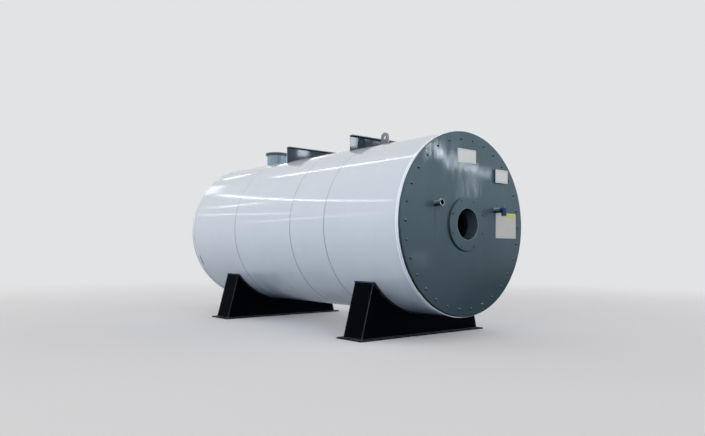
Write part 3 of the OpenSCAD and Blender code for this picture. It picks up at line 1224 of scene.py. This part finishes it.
class Fasteners:
    """Hexagon screws with washers set out on a circle, and small rivets on a rectangle's corners."""

    def __init__(self) -> None:
        """Builds the two trees."""
        self.ring = self._ring_tree()
        self.corners = self._corner_tree()

    @staticmethod
    def _placed(
        tree: GeoTree, points: bpy.types.NodeSocket, head: bpy.types.NodeSocket, spin: Optional[Sock] = None
    ) -> GeoTree:
        """Puts a head on each point, turns the lot to its face and ends the tree.

        Args:
            tree: The tree.
            points: Where the heads sit, on the XY plane.
            head: One head, pointing to +Z.
            spin: Each head's turn, or None.

        Returns:
            The tree.
        """
        turn = tree.entry("Turn", "Vector", (0.0, 0.0, 0.0))
        centre = tree.entry("Centre", "Vector", (0.0, 0.0, 0.0))
        sockets: Sockets = {"Points": points, "Instance": head}
        if spin is not None:
            sockets["Rotation"] = spin
        heads = tree.shape("InstanceOnPoints", sockets)
        tree.close(tree.shape("Transform", {"Geometry": heads, "Rotation": turn, "Translation": centre}))
        return tree

    @staticmethod
    def _ring_tree() -> GeoTree:
        """Screw heads on a circle, each turned by chance about its own axis.

        Returns:
            The tree.
        """
        tree = GeoTree("screw_circle")
        count = tree.entry("Count", "Int", 12)
        radius = tree.entry("Circle radius", "Float", 0.5)
        start = tree.entry("Start angle", "Float", 0.0)
        hexagon = tree.entry("Head radius", "Float", 0.01)
        height = tree.entry("Head height", "Float", 0.008)
        washer = tree.entry("Washer radius", "Float", 0.012)
        thick = tree.entry("Washer thickness", "Float", 0.002)
        dome = tree.entry("Dome rise", "Float", 0.5)
        seed = tree.entry("Seed", "Int", 3)
        circle = tree.shape("MeshCircle", {"Vertices": count, "Radius": radius})
        circle = tree.shape("Transform", {"Geometry": circle, "Rotation": tree.vector(0.0, 0.0, start)})
        parts: List[bpy.types.NodeSocket] = []
        stack: Tuple[Tuple[int, Value, Value, Value, Value], ...] = (
            (20, washer, washer * 0.96, thick, 0.0),
            (6, hexagon, hexagon, height * 0.42, thick),
            (6, hexagon, hexagon * 0.86, height * 0.08, thick + height * 0.42),
        )
        for sides, low, high, depth, lift in stack:
            sockets = {"Vertices": sides, "Radius Bottom": low, "Radius Top": high, "Depth": depth}
            shift = tree.vector(0.0, 0.0, lift)
            disc = {"Geometry": tree.shape("MeshCone", sockets), "Translation": shift}
            parts.append(tree.shape("Transform", disc))
        ball = tree.shape("MeshUVSphere", {"Segments": 18, "Rings": 10, "Radius": hexagon * 0.84})
        top, flat = tree.vector(0.0, 0.0, thick + height * 0.46), tree.vector(1.0, 1.0, dome)
        cap = tree.shape("Transform", {"Geometry": ball, "Translation": top, "Scale": flat})
        parts.append(tree.shape("SetShadeSmooth", {"Geometry": cap}))
        chance = tree.node(
            "FunctionNodeRandomValue", {"data_type": "FLOAT"}, {2: 0.0, 3: math.pi / 3, "Seed": seed}
        )
        spin = tree.vector(0.0, 0.0, Sock(tree, chance.outputs[1]))
        return Fasteners._placed(tree, circle, tree.joined(parts), spin)

    @staticmethod
    def _corner_tree() -> GeoTree:
        """Domed rivets on a rectangle's corners.

        Returns:
            The tree.
        """
        tree = GeoTree("corner_rivets")
        wide = tree.entry("Width", "Float", 0.2)
        tall = tree.entry("Height", "Float", 0.1)
        radius = tree.entry("Rivet radius", "Float", 0.004)
        rise = tree.entry("Rise", "Float", 0.5)
        grid = tree.shape("MeshGrid", {"Size X": wide, "Size Y": tall, "Vertices X": 2, "Vertices Y": 2})
        ball = tree.shape("MeshUVSphere", {"Segments": 16, "Rings": 8, "Radius": radius})
        dome = tree.shape("Transform", {"Geometry": ball, "Scale": tree.vector(1.0, 1.0, rise)})
        return Fasteners._placed(tree, grid, tree.shape("SetShadeSmooth", {"Geometry": dome}))


class WeldRun:
    """A weld bead with its ripples, RIPPLE_STEPS rings long each, along one or more paths."""

    RIPPLE_STEPS = 2.4

    def __init__(self) -> None:
        """Builds the tree."""
        tree = GeoTree("weld_bead")
        radius = tree.entry("Bead radius", "Float", 0.004)
        step = tree.entry("Step", "Float", 0.003)
        pitch = tree.entry("Ripple pitch", "Float", 0.006)
        ripple = tree.entry("Ripple height", "Float", 0.0006)
        sides = tree.entry("Sides", "Int", 8)
        curve = tree.shape("MeshToCurve", {0: tree.source.outputs["Geometry"]})
        even = tree.node("GeometryNodeResampleCurve", {"mode": "LENGTH"}, {"Curve": curve, "Length": step})
        run = tree.node("GeometryNodeSplineParameter")
        store = tree.node("GeometryNodeCaptureAttribute")
        store.capture_items.new("FLOAT", "run")
        tree.tree.links.new(even.outputs[0], store.inputs[0])
        tree.tree.links.new(run.outputs["Length"], store.inputs[1])
        profile = tree.shape("CurvePrimitiveCircle", {"Resolution": sides, "Radius": radius})
        sockets = {"Curve": store.outputs[0], "Profile Curve": profile, "Fill Caps": True}
        solid = tree.shape("CurveToMesh", sockets)
        wave = (Sock(tree, store.outputs[1]) * FULL_TURN / pitch).sine() * ripple
        normal = tree.node("GeometryNodeInputNormal").outputs[0]
        push = tree.node("ShaderNodeVectorMath", {"operation": "SCALE"}, {"Vector": normal, "Scale": wave})
        moved = tree.shape("SetPosition", {"Geometry": solid, "Offset": push.outputs[0]})
        tree.close(tree.shape("SetShadeSmooth", {"Geometry": moved}))
        self.tree = tree

    def lay(
        self,
        name: str,
        paths: Sequence[Sequence[Point]],
        radius: float,
        material: bpy.types.Material,
        step: float = 0.003,
    ) -> bpy.types.Object:
        """Lays one bead along closed paths.

        Args:
            name: The piece's name.
            paths: Each path's points; a path closes on itself.
            radius: The bead's radius.
            material: Its finish.
            step: Distance between the bead's rings.

        Returns:
            The piece.
        """
        points: List[Point] = []
        edges: List[Tuple[int, int]] = []
        for path in paths:
            first, count = len(points), len(path)
            points.extend(path)
            edges.extend((first + index, first + (index + 1) % count) for index in range(count))
        mesh = bpy.data.meshes.new(name + "_path")
        mesh.from_pydata(points, edges, [])
        pitch = step * self.RIPPLE_STEPS
        values = {"Bead radius": radius, "Ripple pitch": pitch, "Step": step, "Material": material}
        return self.tree.grow(name, values, mesh)


def circle_path(centre: Point, radius: float, count: int) -> List[Point]:
    """Points of a circle that faces -Y.

    Args:
        centre: Its middle.
        radius: Its radius.
        count: How many points.

    Returns:
        The points.
    """
    turns = (FULL_TURN * index / count for index in range(count))
    return [(centre[0] + radius * math.cos(a), centre[1], centre[2] + radius * math.sin(a)) for a in turns]


def box_mesh(name: str, low: Point, high: Point, bevel: float) -> bpy.types.Mesh:
    """A block with rounded edges.

    Args:
        name: The mesh's name.
        low: Its lowest corner.
        high: Its highest corner.
        bevel: Radius of its edges.

    Returns:
        The mesh.
    """
    made = bmesh.new()
    bmesh.ops.create_cube(made, size=1.0)
    size = Vector(high) - Vector(low)
    place = Matrix.Translation((Vector(high) + Vector(low)) / 2) @ Matrix.Diagonal((*size, 1.0))
    bmesh.ops.transform(made, matrix=place, verts=made.verts)
    bmesh.ops.bevel(
        made, geom=made.edges[:], offset=bevel, segments=2, profile=0.5, affect="EDGES", clamp_overlap=True
    )
    mesh = bpy.data.meshes.new(name)
    made.to_mesh(mesh)
    made.free()
    for face in mesh.polygons:
        face.use_smooth = True
    return mesh


@dataclass
class Finishes:
    """Every finish of the boiler, built once.

    Attributes:
        layout: Where the main forms lie.
        made: The materials.
    """

    layout: Layout
    made: Dict[Finish, bpy.types.Material] = field(default_factory=dict)

    def drum_coats(self) -> List[Coat]:
        """The finishes of the jacket, its trim and the end plates.

        Returns:
            The finishes.
        """
        stub_shadows: List[StubShadow] = []
        # Painted shadow streaks below the two stubs.
        for node, length in (("left_stub_pipe", 0.42), ("right_stub_pipe", 0.20)):
            low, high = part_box(node)
            stub_shadows.append(StubShadow((low.x + high.x) / 2, low.z, length))
        return [
            JacketSheet(Finish.JACKET, self.layout),
            TrimEnamel(
                Finish.TRIM,
                chart(230, 234, 238),
                shine=0.08,
                patch=0.04,
                ior=1.6,
                layout=self.layout,
            ),
            BurnerEnamel(
                Finish.FACE,
                chart(78, 93, 99),
                shine=0.01,
                wave=0.003,
                ior=1.30,
                brushed=0.0006,
                layout=self.layout,
                stub_shadows=tuple(stub_shadows),
            ),
            Refractory(Finish.LINING, self.layout),
        ]

    def enamels(self) -> List[Coat]:
        """The finishes of the painted fittings.

        Returns:
            The finishes.
        """
        return [
            PlateEnamel(Finish.FITTING, chart(66, 76, 84), shine=0.12, wave=0.0006, patch=0.08),
            PlateEnamel(
                Finish.SUPPORT,
                chart(42, 54, 64),
                shine=0.02,
                wave=0.0005,
                patch=0.08,
                ior=1.36,
                # Pale bare ends, which also stand as a painted highlight on the supports' sides.
                bare_end_highlight=chart(196, 204, 210),
                peel=0.000004,
                wear=0.2,
            ),
            PlateEnamel(
                Finish.FLANGE,
                chart(116, 126, 134),
                wave=0.0004,
                patch=0.08,
                ior=1.3,
                # Painted highlight on the flange's top faces and painted shadow under it.
                lit_top_shaded_under=(chart(132, 140, 146), chart(8, 10, 12)),
            ),
            StubEnamel(
                Finish.STUB,
                chart(82, 97, 104),
                shine=0.12,
                wave=0.0004,
                # Painted highlight on the stubs' tops and painted shade under them.
                lit_top_shaded_under=(chart(184, 196, 204), chart(10, 16, 22)),
                layout=self.layout,
            ),
            PlateEnamel(
                Finish.VALVE,
                chart(8, 52, 86),
                shine=0.14,
                wave=0.0003,
                # Painted highlight on the valve's top and painted shade under it.
                lit_top_shaded_under=(chart(66, 116, 152), chart(5, 16, 26)),
            ),
            PlateEnamel(
                Finish.SCREW,
                chart(14, 26, 34),
                shine=0.14,
                wave=0.0,
                patch=0.05,
                ior=1.4,
                # Painted highlight on the screw domes' tops and painted shade under them.
                lit_top_shaded_under=(chart(206, 232, 244), chart(2, 6, 10)),
            ),
            PlateEnamel(Finish.FLUE_RIM, chart(56, 66, 76), shine=0.25, wave=0.0003),
            PlateEnamel(Finish.HEADER, chart(186, 190, 62), shine=0.35, wave=0.0, patch=0.06),
            SaddlePaint(Finish.SADDLE),
        ]

    @staticmethod
    def metals() -> List[Coat]:
        """The finishes of the bare, plated and thinly painted steel.

        Returns:
            The finishes.
        """
        spots, streaks = (26.0, 26.0, 26.0), (34.0, 34.0, 1.5)
        return [
            Metal(Finish.LUG, chart(144, 150, 156), shine=0.4, metallic=0.5, grain=spots, spread=0.62),
            Metal(Finish.RIVET, chart(176, 182, 188), shine=0.24, metallic=0.9),
            Metal(Finish.LEVER, chart(128, 134, 140), shine=0.28),
            Metal(Finish.FLUE, chart(150, 170, 184), shine=0.2, metallic=0.55, grain=streaks, spread=0.55),
            Metal(Finish.FURNACE, chart(60, 54, 50), shine=0.55, metallic=0.4),
        ]

    @staticmethod
    def plates() -> List[Coat]:
        """The finishes of the three bare plates.

        Returns:
            The finishes.
        """
        return [
            BarePlate(Finish.RATING_PLATE, "rating_plate", chart(204, 198, 190), inset=0.011),
            BarePlate(Finish.SIDE_PLATE, "side_plate", chart(202, 196, 190), inset=0.010),
            BarePlate(Finish.BOARD, "instruction_board", chart(182, 175, 167), inset=0.014),
        ]

    def build(self) -> Finishes:
        """Makes all the materials.

        Returns:
            These finishes.
        """
        for coat in (*self.drum_coats(), *self.enamels(), *self.metals(), *self.plates()):
            self.made[coat.name] = coat.build()
        return self

    def __getitem__(self, finish: Finish) -> bpy.types.Material:
        """The material of a finish."""
        return self.made[finish]


def dress_nodes(nodes: Dict[str, bpy.types.Object], finishes: Finishes) -> None:
    """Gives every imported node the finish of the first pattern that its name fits.

    Args:
        nodes: The nodes' objects by name.
        finishes: The boiler's finishes.
    """
    for name, node in nodes.items():
        finish = next(finish for pattern, finish in NODE_FINISHES.items() if fnmatchcase(name, pattern))
        node.data.materials.clear()
        node.data.materials.append(finishes[finish])
        LOG.info("node %s: %s", name, finish.value)


@dataclass
class SubAssembly:
    """Pieces that the scene adds to the drum, and what they are made with.

    Attributes:
        layout: Where the main forms lie.
        finishes: The boiler's finishes.
        welds: The tree of the weld beads.
    """

    layout: Layout
    finishes: Finishes
    welds: WeldRun


@dataclass
class BurnerFace(SubAssembly):
    """What is screwed, riveted and welded to the end plates.

    Attributes:
        fasteners: The trees of the screws and rivets.
        screws: Screws of one end plate.
        screw_circle: Radius of their circle.
        screw_start: Angle of the first one.
        head_r: Radius of a screw's head, over its corners.
        head_h: Height of a screw's head.
        washer_r: Radius of a washer.
        washer_t: Thickness of a washer.
        rivet_r: Radius of a plate's rivet.
        rivet_rise: Height of its dome as a share of its radius.
        rivet_inset: Distance of a rivet from the plate's edges.
        bead_r: Radius of the weld beads.
        stub_steps: Points of the line round a stub.
        ring_steps: Points of the line round the ring.
        header_sides: Distances of the yellow header from the board's left and right edge.
        header_top: Its distance from the board's top.
        header_h: Its height.
        header_out: How far it stands out of the board.
        header_in: How far it reaches into the board.
    """

    fasteners: Fasteners
    screws: int = 30
    screw_circle: float = 0.918
    screw_start: float = math.radians(-0.7)
    head_r: float = 0.0110
    head_h: float = 0.0085
    washer_r: float = 0.0150
    washer_t: float = 0.002
    rivet_r: float = 0.0042
    rivet_rise: float = 0.55
    rivet_inset: float = 0.007
    bead_r: float = 0.0045
    stub_steps: int = 64
    ring_steps: int = 160
    header_sides: Tuple[float, float] = (0.112, 0.012)
    header_top: float = 0.003
    header_h: float = 0.037
    header_out: float = 0.0012
    header_in: float = 0.0004

    def rim_screws(self) -> None:
        """The screws that hold both end plates."""
        sizes = {
            "Count": self.screws,
            "Circle radius": self.screw_circle,
            "Start angle": self.screw_start,
            "Head radius": self.head_r,
            "Head height": self.head_h,
            "Washer radius": self.washer_r,
            "Washer thickness": self.washer_t,
            "Material": self.finishes[Finish.SCREW],
        }
        ends = (
            ("front_rim_screws", Facing.FRONT, self.layout.face_y, 3),
            ("rear_rim_screws", Facing.REAR, self.layout.rear_y, 5),
        )
        for name, facing, y, seed in ends:
            place = {"Seed": seed, "Turn": facing.value, "Centre": (0.0, y, self.layout.axis_z)}
            hold(self.fasteners.ring.grow(name, {**sizes, **place}))

    def weld_beads(self) -> None:
        """Beads round the stub pipes and the mounting ring."""
        y = self.layout.face_y
        paths: List[Sequence[Point]] = []
        for node in ("left_stub_pipe", "right_stub_pipe"):
            low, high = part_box(node)
            centre = ((low.x + high.x) / 2, y, (low.z + high.z) / 2)
            paths.append(circle_path(centre, (high.x - low.x) / 2 + BEAD_GAP, self.stub_steps))
        low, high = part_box("burner_ring")
        paths.append(circle_path((0.0, y, self.layout.axis_z), (high.x - low.x) / 2, self.ring_steps))
        hold(self.welds.lay("face_welds", paths, self.bead_r, self.finishes[Finish.FACE]))

    def plate_rivets(self) -> None:
        """Rivets on the three bare plates."""
        for node in ("rating_plate", "side_plate", "instruction_board"):
            low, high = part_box(node)
            values = {
                "Width": high.x - low.x - 2.0 * self.rivet_inset,
                "Height": high.z - low.z - 2.0 * self.rivet_inset,
                "Rivet radius": self.rivet_r,
                "Rise": self.rivet_rise,
                "Turn": Facing.FRONT.value,
                "Centre": ((low.x + high.x) / 2, low.y, (low.z + high.z) / 2),
                "Material": self.finishes[Finish.RIVET],
            }
            hold(self.fasteners.corners.grow(node + "_rivets", values))

    def board_header(self) -> None:
        """The instruction board's yellow header, with nothing written on it."""
        low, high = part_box("instruction_board")
        left, right = low.x + self.header_sides[0], high.x - self.header_sides[1]
        top = high.z - self.header_top
        first = (left, low.y - self.header_out, top - self.header_h)
        mesh = box_mesh("board_header", first, (right, low.y + self.header_in, top), 0.0005)
        mesh.materials.append(self.finishes[Finish.HEADER])
        hold(link_mesh("board_header", mesh))

    def build(self) -> None:
        """Makes all of it."""
        self.rim_screws()
        self.weld_beads()
        self.plate_rivets()
        self.board_header()


@dataclass
class TopGear(SubAssembly):
    """Welds of the lugs, the cross-wise supports and the flue neck.

    Attributes:
        support_bead: Radius of the beads at the supports.
        lug_bead: Radius of the beads at the lugs.
        neck_bead: Radius of the bead at the flue neck.
        steps: Points of a foot's line across the drum and along it.
        neck_steps: Points of the flue neck's line.
    """

    support_bead: float = 0.0042
    lug_bead: float = 0.0055
    neck_bead: float = 0.005
    steps: Tuple[int, int] = (48, 12)
    neck_steps: int = 120

    def foot_path(self, node: str) -> List[Point]:
        """The line where an upright piece meets the jacket.

        Args:
            node: The piece's node.

        Returns:
            The points.
        """
        low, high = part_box(node)
        corners = ((low.x, low.y), (high.x, low.y), (high.x, high.y), (low.x, high.y))
        points: List[Point] = []
        for side, (x, y) in enumerate(corners):
            end_x, end_y = corners[(side + 1) % 4]
            steps = self.steps[side % 2]
            for i in range(steps):
                spot = (x + (end_x - x) * i / steps, y + (end_y - y) * i / steps)
                points.append(self.layout.above(*spot))
        return points

    def neck_path(self) -> List[Point]:
        """The line where the flue neck leaves the jacket.

        Returns:
            The points.
        """
        low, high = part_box("flue_neck")
        radius = (high.x - low.x) / 2 + BEAD_GAP
        middle = (low.y + high.y) / 2
        turns = (FULL_TURN * index / self.neck_steps for index in range(self.neck_steps))
        return [self.layout.above(radius * math.cos(a), middle + radius * math.sin(a)) for a in turns]

    def build(self) -> None:
        """Lays the beads."""
        pairs = (
            ("support_welds", "support_plate", self.support_bead, Finish.FITTING),
            ("lug_welds", "lifting_lug", self.lug_bead, Finish.LUG),
        )
        for name, node, bead, finish in pairs:
            paths = [self.foot_path(f"{end}_{node}") for end in ("front", "rear")]
            hold(self.welds.lay(name, paths, bead, self.finishes[finish]))
        neck = self.welds.lay("neck_weld", [self.neck_path()], self.neck_bead, self.finishes[Finish.FLUE])
        hold(neck)


@dataclass
class Saddles(SubAssembly):
    """Welds of the two saddles.

    Attributes:
        wrap: Half the angle that a pad covers.
        bead_r: Radius of the beads.
        bead_step: Distance between a bead's rings.
        steps: Parts of a pad's curved edge.
    """

    wrap: float = math.radians(51.0)
    bead_r: float = 0.004
    bead_step: float = 0.006
    steps: int = 90

    def pad_path(self, node: str) -> List[Point]:
        """The edge of a saddle's pad, on the jacket.

        Args:
            node: The pad's node.

        Returns:
            The points.
        """
        low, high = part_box(node)
        angles = [math.pi - self.wrap + 2.0 * self.wrap * i / self.steps for i in range(self.steps + 1)]
        near = [self.layout.on_jacket(angle, low.y) for angle in angles]
        far = [self.layout.on_jacket(angle, high.y) for angle in reversed(angles)]
        return near + far

    def build(self) -> None:
        """Lays the beads."""
        paths = [self.pad_path(f"{end}_saddle_pad") for end in ("front", "rear")]
        paint = self.finishes[Finish.SADDLE]
        hold(self.welds.lay("saddle_welds", paths, self.bead_r, paint, self.bead_step))


class Strip(NamedTuple):
    """A long thin lamp; its Y is counted from the burner plate's face."""

    start: Point
    end: Point
    width: float
    radiance: float


class SoftBox(NamedTuple):
    """A large soft lamp; its Y is counted from the burner plate's face."""

    name: str
    at: Point
    to: Point
    size: Tuple[float, float]
    power: float


@dataclass
class Studio:
    """The pale floor, the world, the lamps and the camera.

    Attributes:
        layout: Where the burner plate lies.
        pale: The backdrop and the far floor, as the camera sees them.
        near: The floor near the boiler, as the camera sees it.
        bounce: The floor's colour in the light that it throws back.
        horizon: The world's light from the horizon.
        low_sky: The world's light from above it.
        high_sky: The world's light from overhead.
        cool: Tint of the panes' light.
        fade: Distances between which the floor turns into the backdrop.
        floor_r: Radius of the floor.
        boxes: The large soft lamps.
        strips: Lamps that stand for the roof lights mirrored in the jacket.
        panes: Lamps that stand for those mirrored in the burner plate.
        stand: The camera's place, with Y counted from the burner plate's face.
        aim: Its yaw, pitch and roll in degrees.
        lens: Its focal length in millimetres, on a sensor 36 mm wide.
        shift: Its upward shift, as a share of the sensor's width.
    """

    layout: Layout
    pale: Colour = chart(226, 227, 229)
    near: Colour = (0.93, 0.935, 0.945)
    bounce: Colour = (0.035, 0.07, 0.13)
    horizon: Colour = (2.75, 3.60, 4.32)
    low_sky: Colour = (2.34, 2.12, 2.00)
    high_sky: Colour = (0.12, 0.12, 0.12)
    cool: Colour = (0.90, 0.98, 1.10)
    fade: Tuple[float, float] = (5.0, 13.0)
    floor_r: float = 60.0
    boxes: Tuple[SoftBox, ...] = (
        SoftBox("overhead_box", (-3.2, 0.36, 7.0), (0.0, 2.16, 1.2), (6.0, 8.0), 55.0),
        SoftBox("face_box", (4.6, -7.3, 5.6), (0.2, 0.0, 1.4), (4.0, 3.0), 30.0),
    )
    strips: Tuple[Strip, ...] = (
        Strip((-0.2, 4.73, 7.0), (-0.2, 10.33, 7.0), 0.09, 11.0),
        Strip((-2.7, 13.83, 7.0), (-10.3, 11.63, 7.0), 0.11, 13.0),
        Strip((-6.3, 18.43, 7.0), (-6.2, 14.53, 7.0), 0.10, 11.0),
        Strip((-12.0, 31.43, 9.0), (-12.0, 19.33, 6.2), 0.15, 7.0),
        Strip((-12.0, 22.33, 4.0), (-12.0, 12.33, 4.4), 0.10, 8.0),
        Strip((-2.1, 14.6, 7.0), (-0.1, 13.8, 7.0), 0.8, 1.7),
        Strip((10.07, 24.48, 12.41), (13.0, 22.76, 11.1), 1.8, 2.6),
        Strip((1.62, 14.0, 7.0), (2.30, 12.85, 7.0), 0.10, 8.0),
    )
    panes: Tuple[Strip, ...] = (
        Strip((6.98, -7.0, 3.86), (7.26, -7.0, 3.50), 0.24, 15.0),
        Strip((7.22, -7.0, 3.67), (7.98, -7.0, 3.30), 0.15, 19.0),
        Strip((7.95, -7.0, 3.36), (9.42, -7.0, 3.16), 0.18, 12.0),
        Strip((8.54, -7.0, 3.34), (8.53, -7.0, 2.50), 0.09, 15.0),
        Strip((6.80, -7.0, 4.40), (6.80, -7.0, 4.06), 0.34, 19.0),
        Strip((7.12, -7.0, 4.35), (7.44, -7.0, 4.36), 0.04, 11.0),
        Strip((7.66, -7.0, 4.31), (7.96, -7.0, 4.31), 0.04, 11.0),
        Strip((6.60, -7.0, 1.00), (6.56, -7.0, 0.56), 0.05, 8.0),
    )
    stand: Point = (-5.362, -4.476, 0.948)
    aim: Point = (40.06, 1.06, 0.35)
    lens: float = 32.61
    shift: float = 0.0308

    def placed(self, point: Point) -> Point:
        """Takes a point whose Y is counted from the burner plate's face into the frame."""
        return point[0], point[1] + self.layout.face_y, point[2]

    def floor(self) -> None:
        """A wide round floor."""
        made = bmesh.new()
        bmesh.ops.create_circle(made, cap_ends=True, cap_tris=False, segments=96, radius=self.floor_r)
        mesh = bpy.data.meshes.new("floor")
        made.to_mesh(mesh)
        made.free()
        shade = Shade("pale_floor")
        x, y, _ = shade.axes()
        far = ((x * x + y * y) ** 0.5).rise(*self.fade)
        shown = shade.cover(far, shade.lit("BsdfDiffuse", self.near), shade.lit("Emission", self.pale))
        both = shade.cover(self.seen(shade), shade.lit("BsdfDiffuse", self.bounce), shown)
        mesh.materials.append(shade.close(both))
        link_mesh("floor", mesh)

    @staticmethod
    def seen(writer: NodeWriter) -> Sock:
        """1 where the camera looks, straight or by a mirror or glass, and 0 for soft light.

        Args:
            writer: The tree's writer.

        Returns:
            The mask.
        """
        path = writer.node("ShaderNodeLightPath")
        kinds = ("Camera", "Glossy", "Transmission")
        return largest([Sock(writer, path.outputs[f"Is {kind} Ray"]) for kind in kinds])

    def world(self) -> None:
        """Pale light from all round, strongest from low down."""
        world = bpy.data.worlds.new("studio")
        bpy.context.scene.world = world
        world.use_nodes = True
        world.node_tree.nodes.clear()
        writer = NodeWriter(world.node_tree)
        _, _, height = writer.split(writer.node("ShaderNodeTexCoord").outputs["Generated"])
        lower = writer.mix(height.rise(0.0, 0.35), self.horizon, self.low_sky)
        sky = writer.mix(height.rise(0.27, 0.66), lower, self.high_sky)
        light, back = writer.lit("Background", sky), writer.lit("Background", self.pale)
        both = writer.cover(self.seen(writer), light, back)
        writer.node("ShaderNodeOutputWorld", {}, {"Surface": both})

    @staticmethod
    def lamp(
        name: str, at: Point, to: Point, size: Tuple[float, float], power: float, tilt: Optional[Point] = None
    ) -> bpy.types.AreaLight:
        """One rectangular soft lamp, which the camera doesn't see.

        Args:
            name: The lamp's name.
            at: Where it hangs.
            to: Where it points.
            size: Its length and width.
            power: Its power in watts.
            tilt: The direction of its length, or None for level.

        Returns:
            The lamp's light.
        """
        data = bpy.data.lights.new(name, "AREA")
        data.shape = "RECTANGLE"
        data.size, data.size_y = size
        data.energy = power
        lamp = bpy.data.objects.new(name, data)
        bpy.context.scene.collection.objects.link(lamp)
        away = Vector(at) - Vector(to)
        along = (Vector(tilt) if tilt else Vector((0.0, 0.0, 1.0)).cross(away)).normalized()
        away = (away - along * away.dot(along)).normalized()
        turn = Matrix((along, away.cross(along), away)).transposed().to_4x4()
        lamp.matrix_world = Matrix.Translation(at) @ turn
        lamp.visible_camera = False
        return data

    def strip(self, name: str, strip: Strip) -> bpy.types.AreaLight:
        """A long thin lamp between two points, turned to the drum.

        Args:
            name: The lamp's name.
            strip: Its place and strength.

        Returns:
            The lamp's light.
        """
        one, two = Vector(self.placed(strip.start)), Vector(self.placed(strip.end))
        span = two - one
        size = (span.length, strip.width)
        power = strip.radiance * span.length * strip.width * math.pi
        target = (0.0, 0.0, self.layout.axis_z)
        return self.lamp(name, tuple((one + two) / 2), target, size, power, tuple(span))

    def lamps(self) -> None:
        """The soft boxes, the long roof strips and the small panes that face the burner plate."""
        for box in self.boxes:
            self.lamp(box.name, self.placed(box.at), self.placed(box.to), box.size, box.power)
        for number, strip in enumerate(self.strips, 1):
            self.strip(f"roof_strip_{number}", strip)
        for number, pane in enumerate(self.panes, 1):
            self.strip(f"face_pane_{number}", pane).color = self.cool

    def camera(self) -> None:
        """The camera, at the viewing angle recovered from the photograph."""
        yaw, pitch, roll = (math.radians(angle) for angle in self.aim)
        forward = Vector((math.sin(yaw) * math.cos(pitch), math.cos(yaw) * math.cos(pitch), math.sin(pitch)))
        level = Vector((math.cos(yaw), -math.sin(yaw), 0.0))
        upright = level.cross(forward)
        right = level * math.cos(roll) + upright * math.sin(roll)
        up = upright * math.cos(roll) - level * math.sin(roll)
        data = bpy.data.cameras.new("camera")
        data.sensor_width = 36.0
        data.lens = self.lens
        data.shift_y = self.shift
        data.clip_start, data.clip_end = 0.05, 300.0
        camera = bpy.data.objects.new("camera", data)
        bpy.context.scene.collection.objects.link(camera)
        turn = Matrix((right, up, -forward)).transposed().to_4x4()
        camera.matrix_world = Matrix.Translation(self.placed(self.stand)) @ turn
        bpy.context.scene.camera = camera

    def build(self) -> None:
        """Sets the whole stage."""
        bpy.context.scene.view_settings.view_transform = "Standard"
        self.camera()
        self.floor()
        self.world()
        self.lamps()


def main() -> None:
    """Builds the looks, piece by piece."""
    logging.basicConfig(level=logging.INFO, format="%(name)s: %(message)s")
    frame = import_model()
    layout = Layout.read()
    Studio(layout).build()
    finishes = Finishes(layout).build()
    dress_nodes(frame["nodes"], finishes)
    welds = WeldRun()
    BurnerFace(layout, finishes, welds, Fasteners()).build()
    TopGear(layout, finishes, welds).build()
    Saddles(layout, finishes, welds).build()


if __name__ == "__main__":
    main()
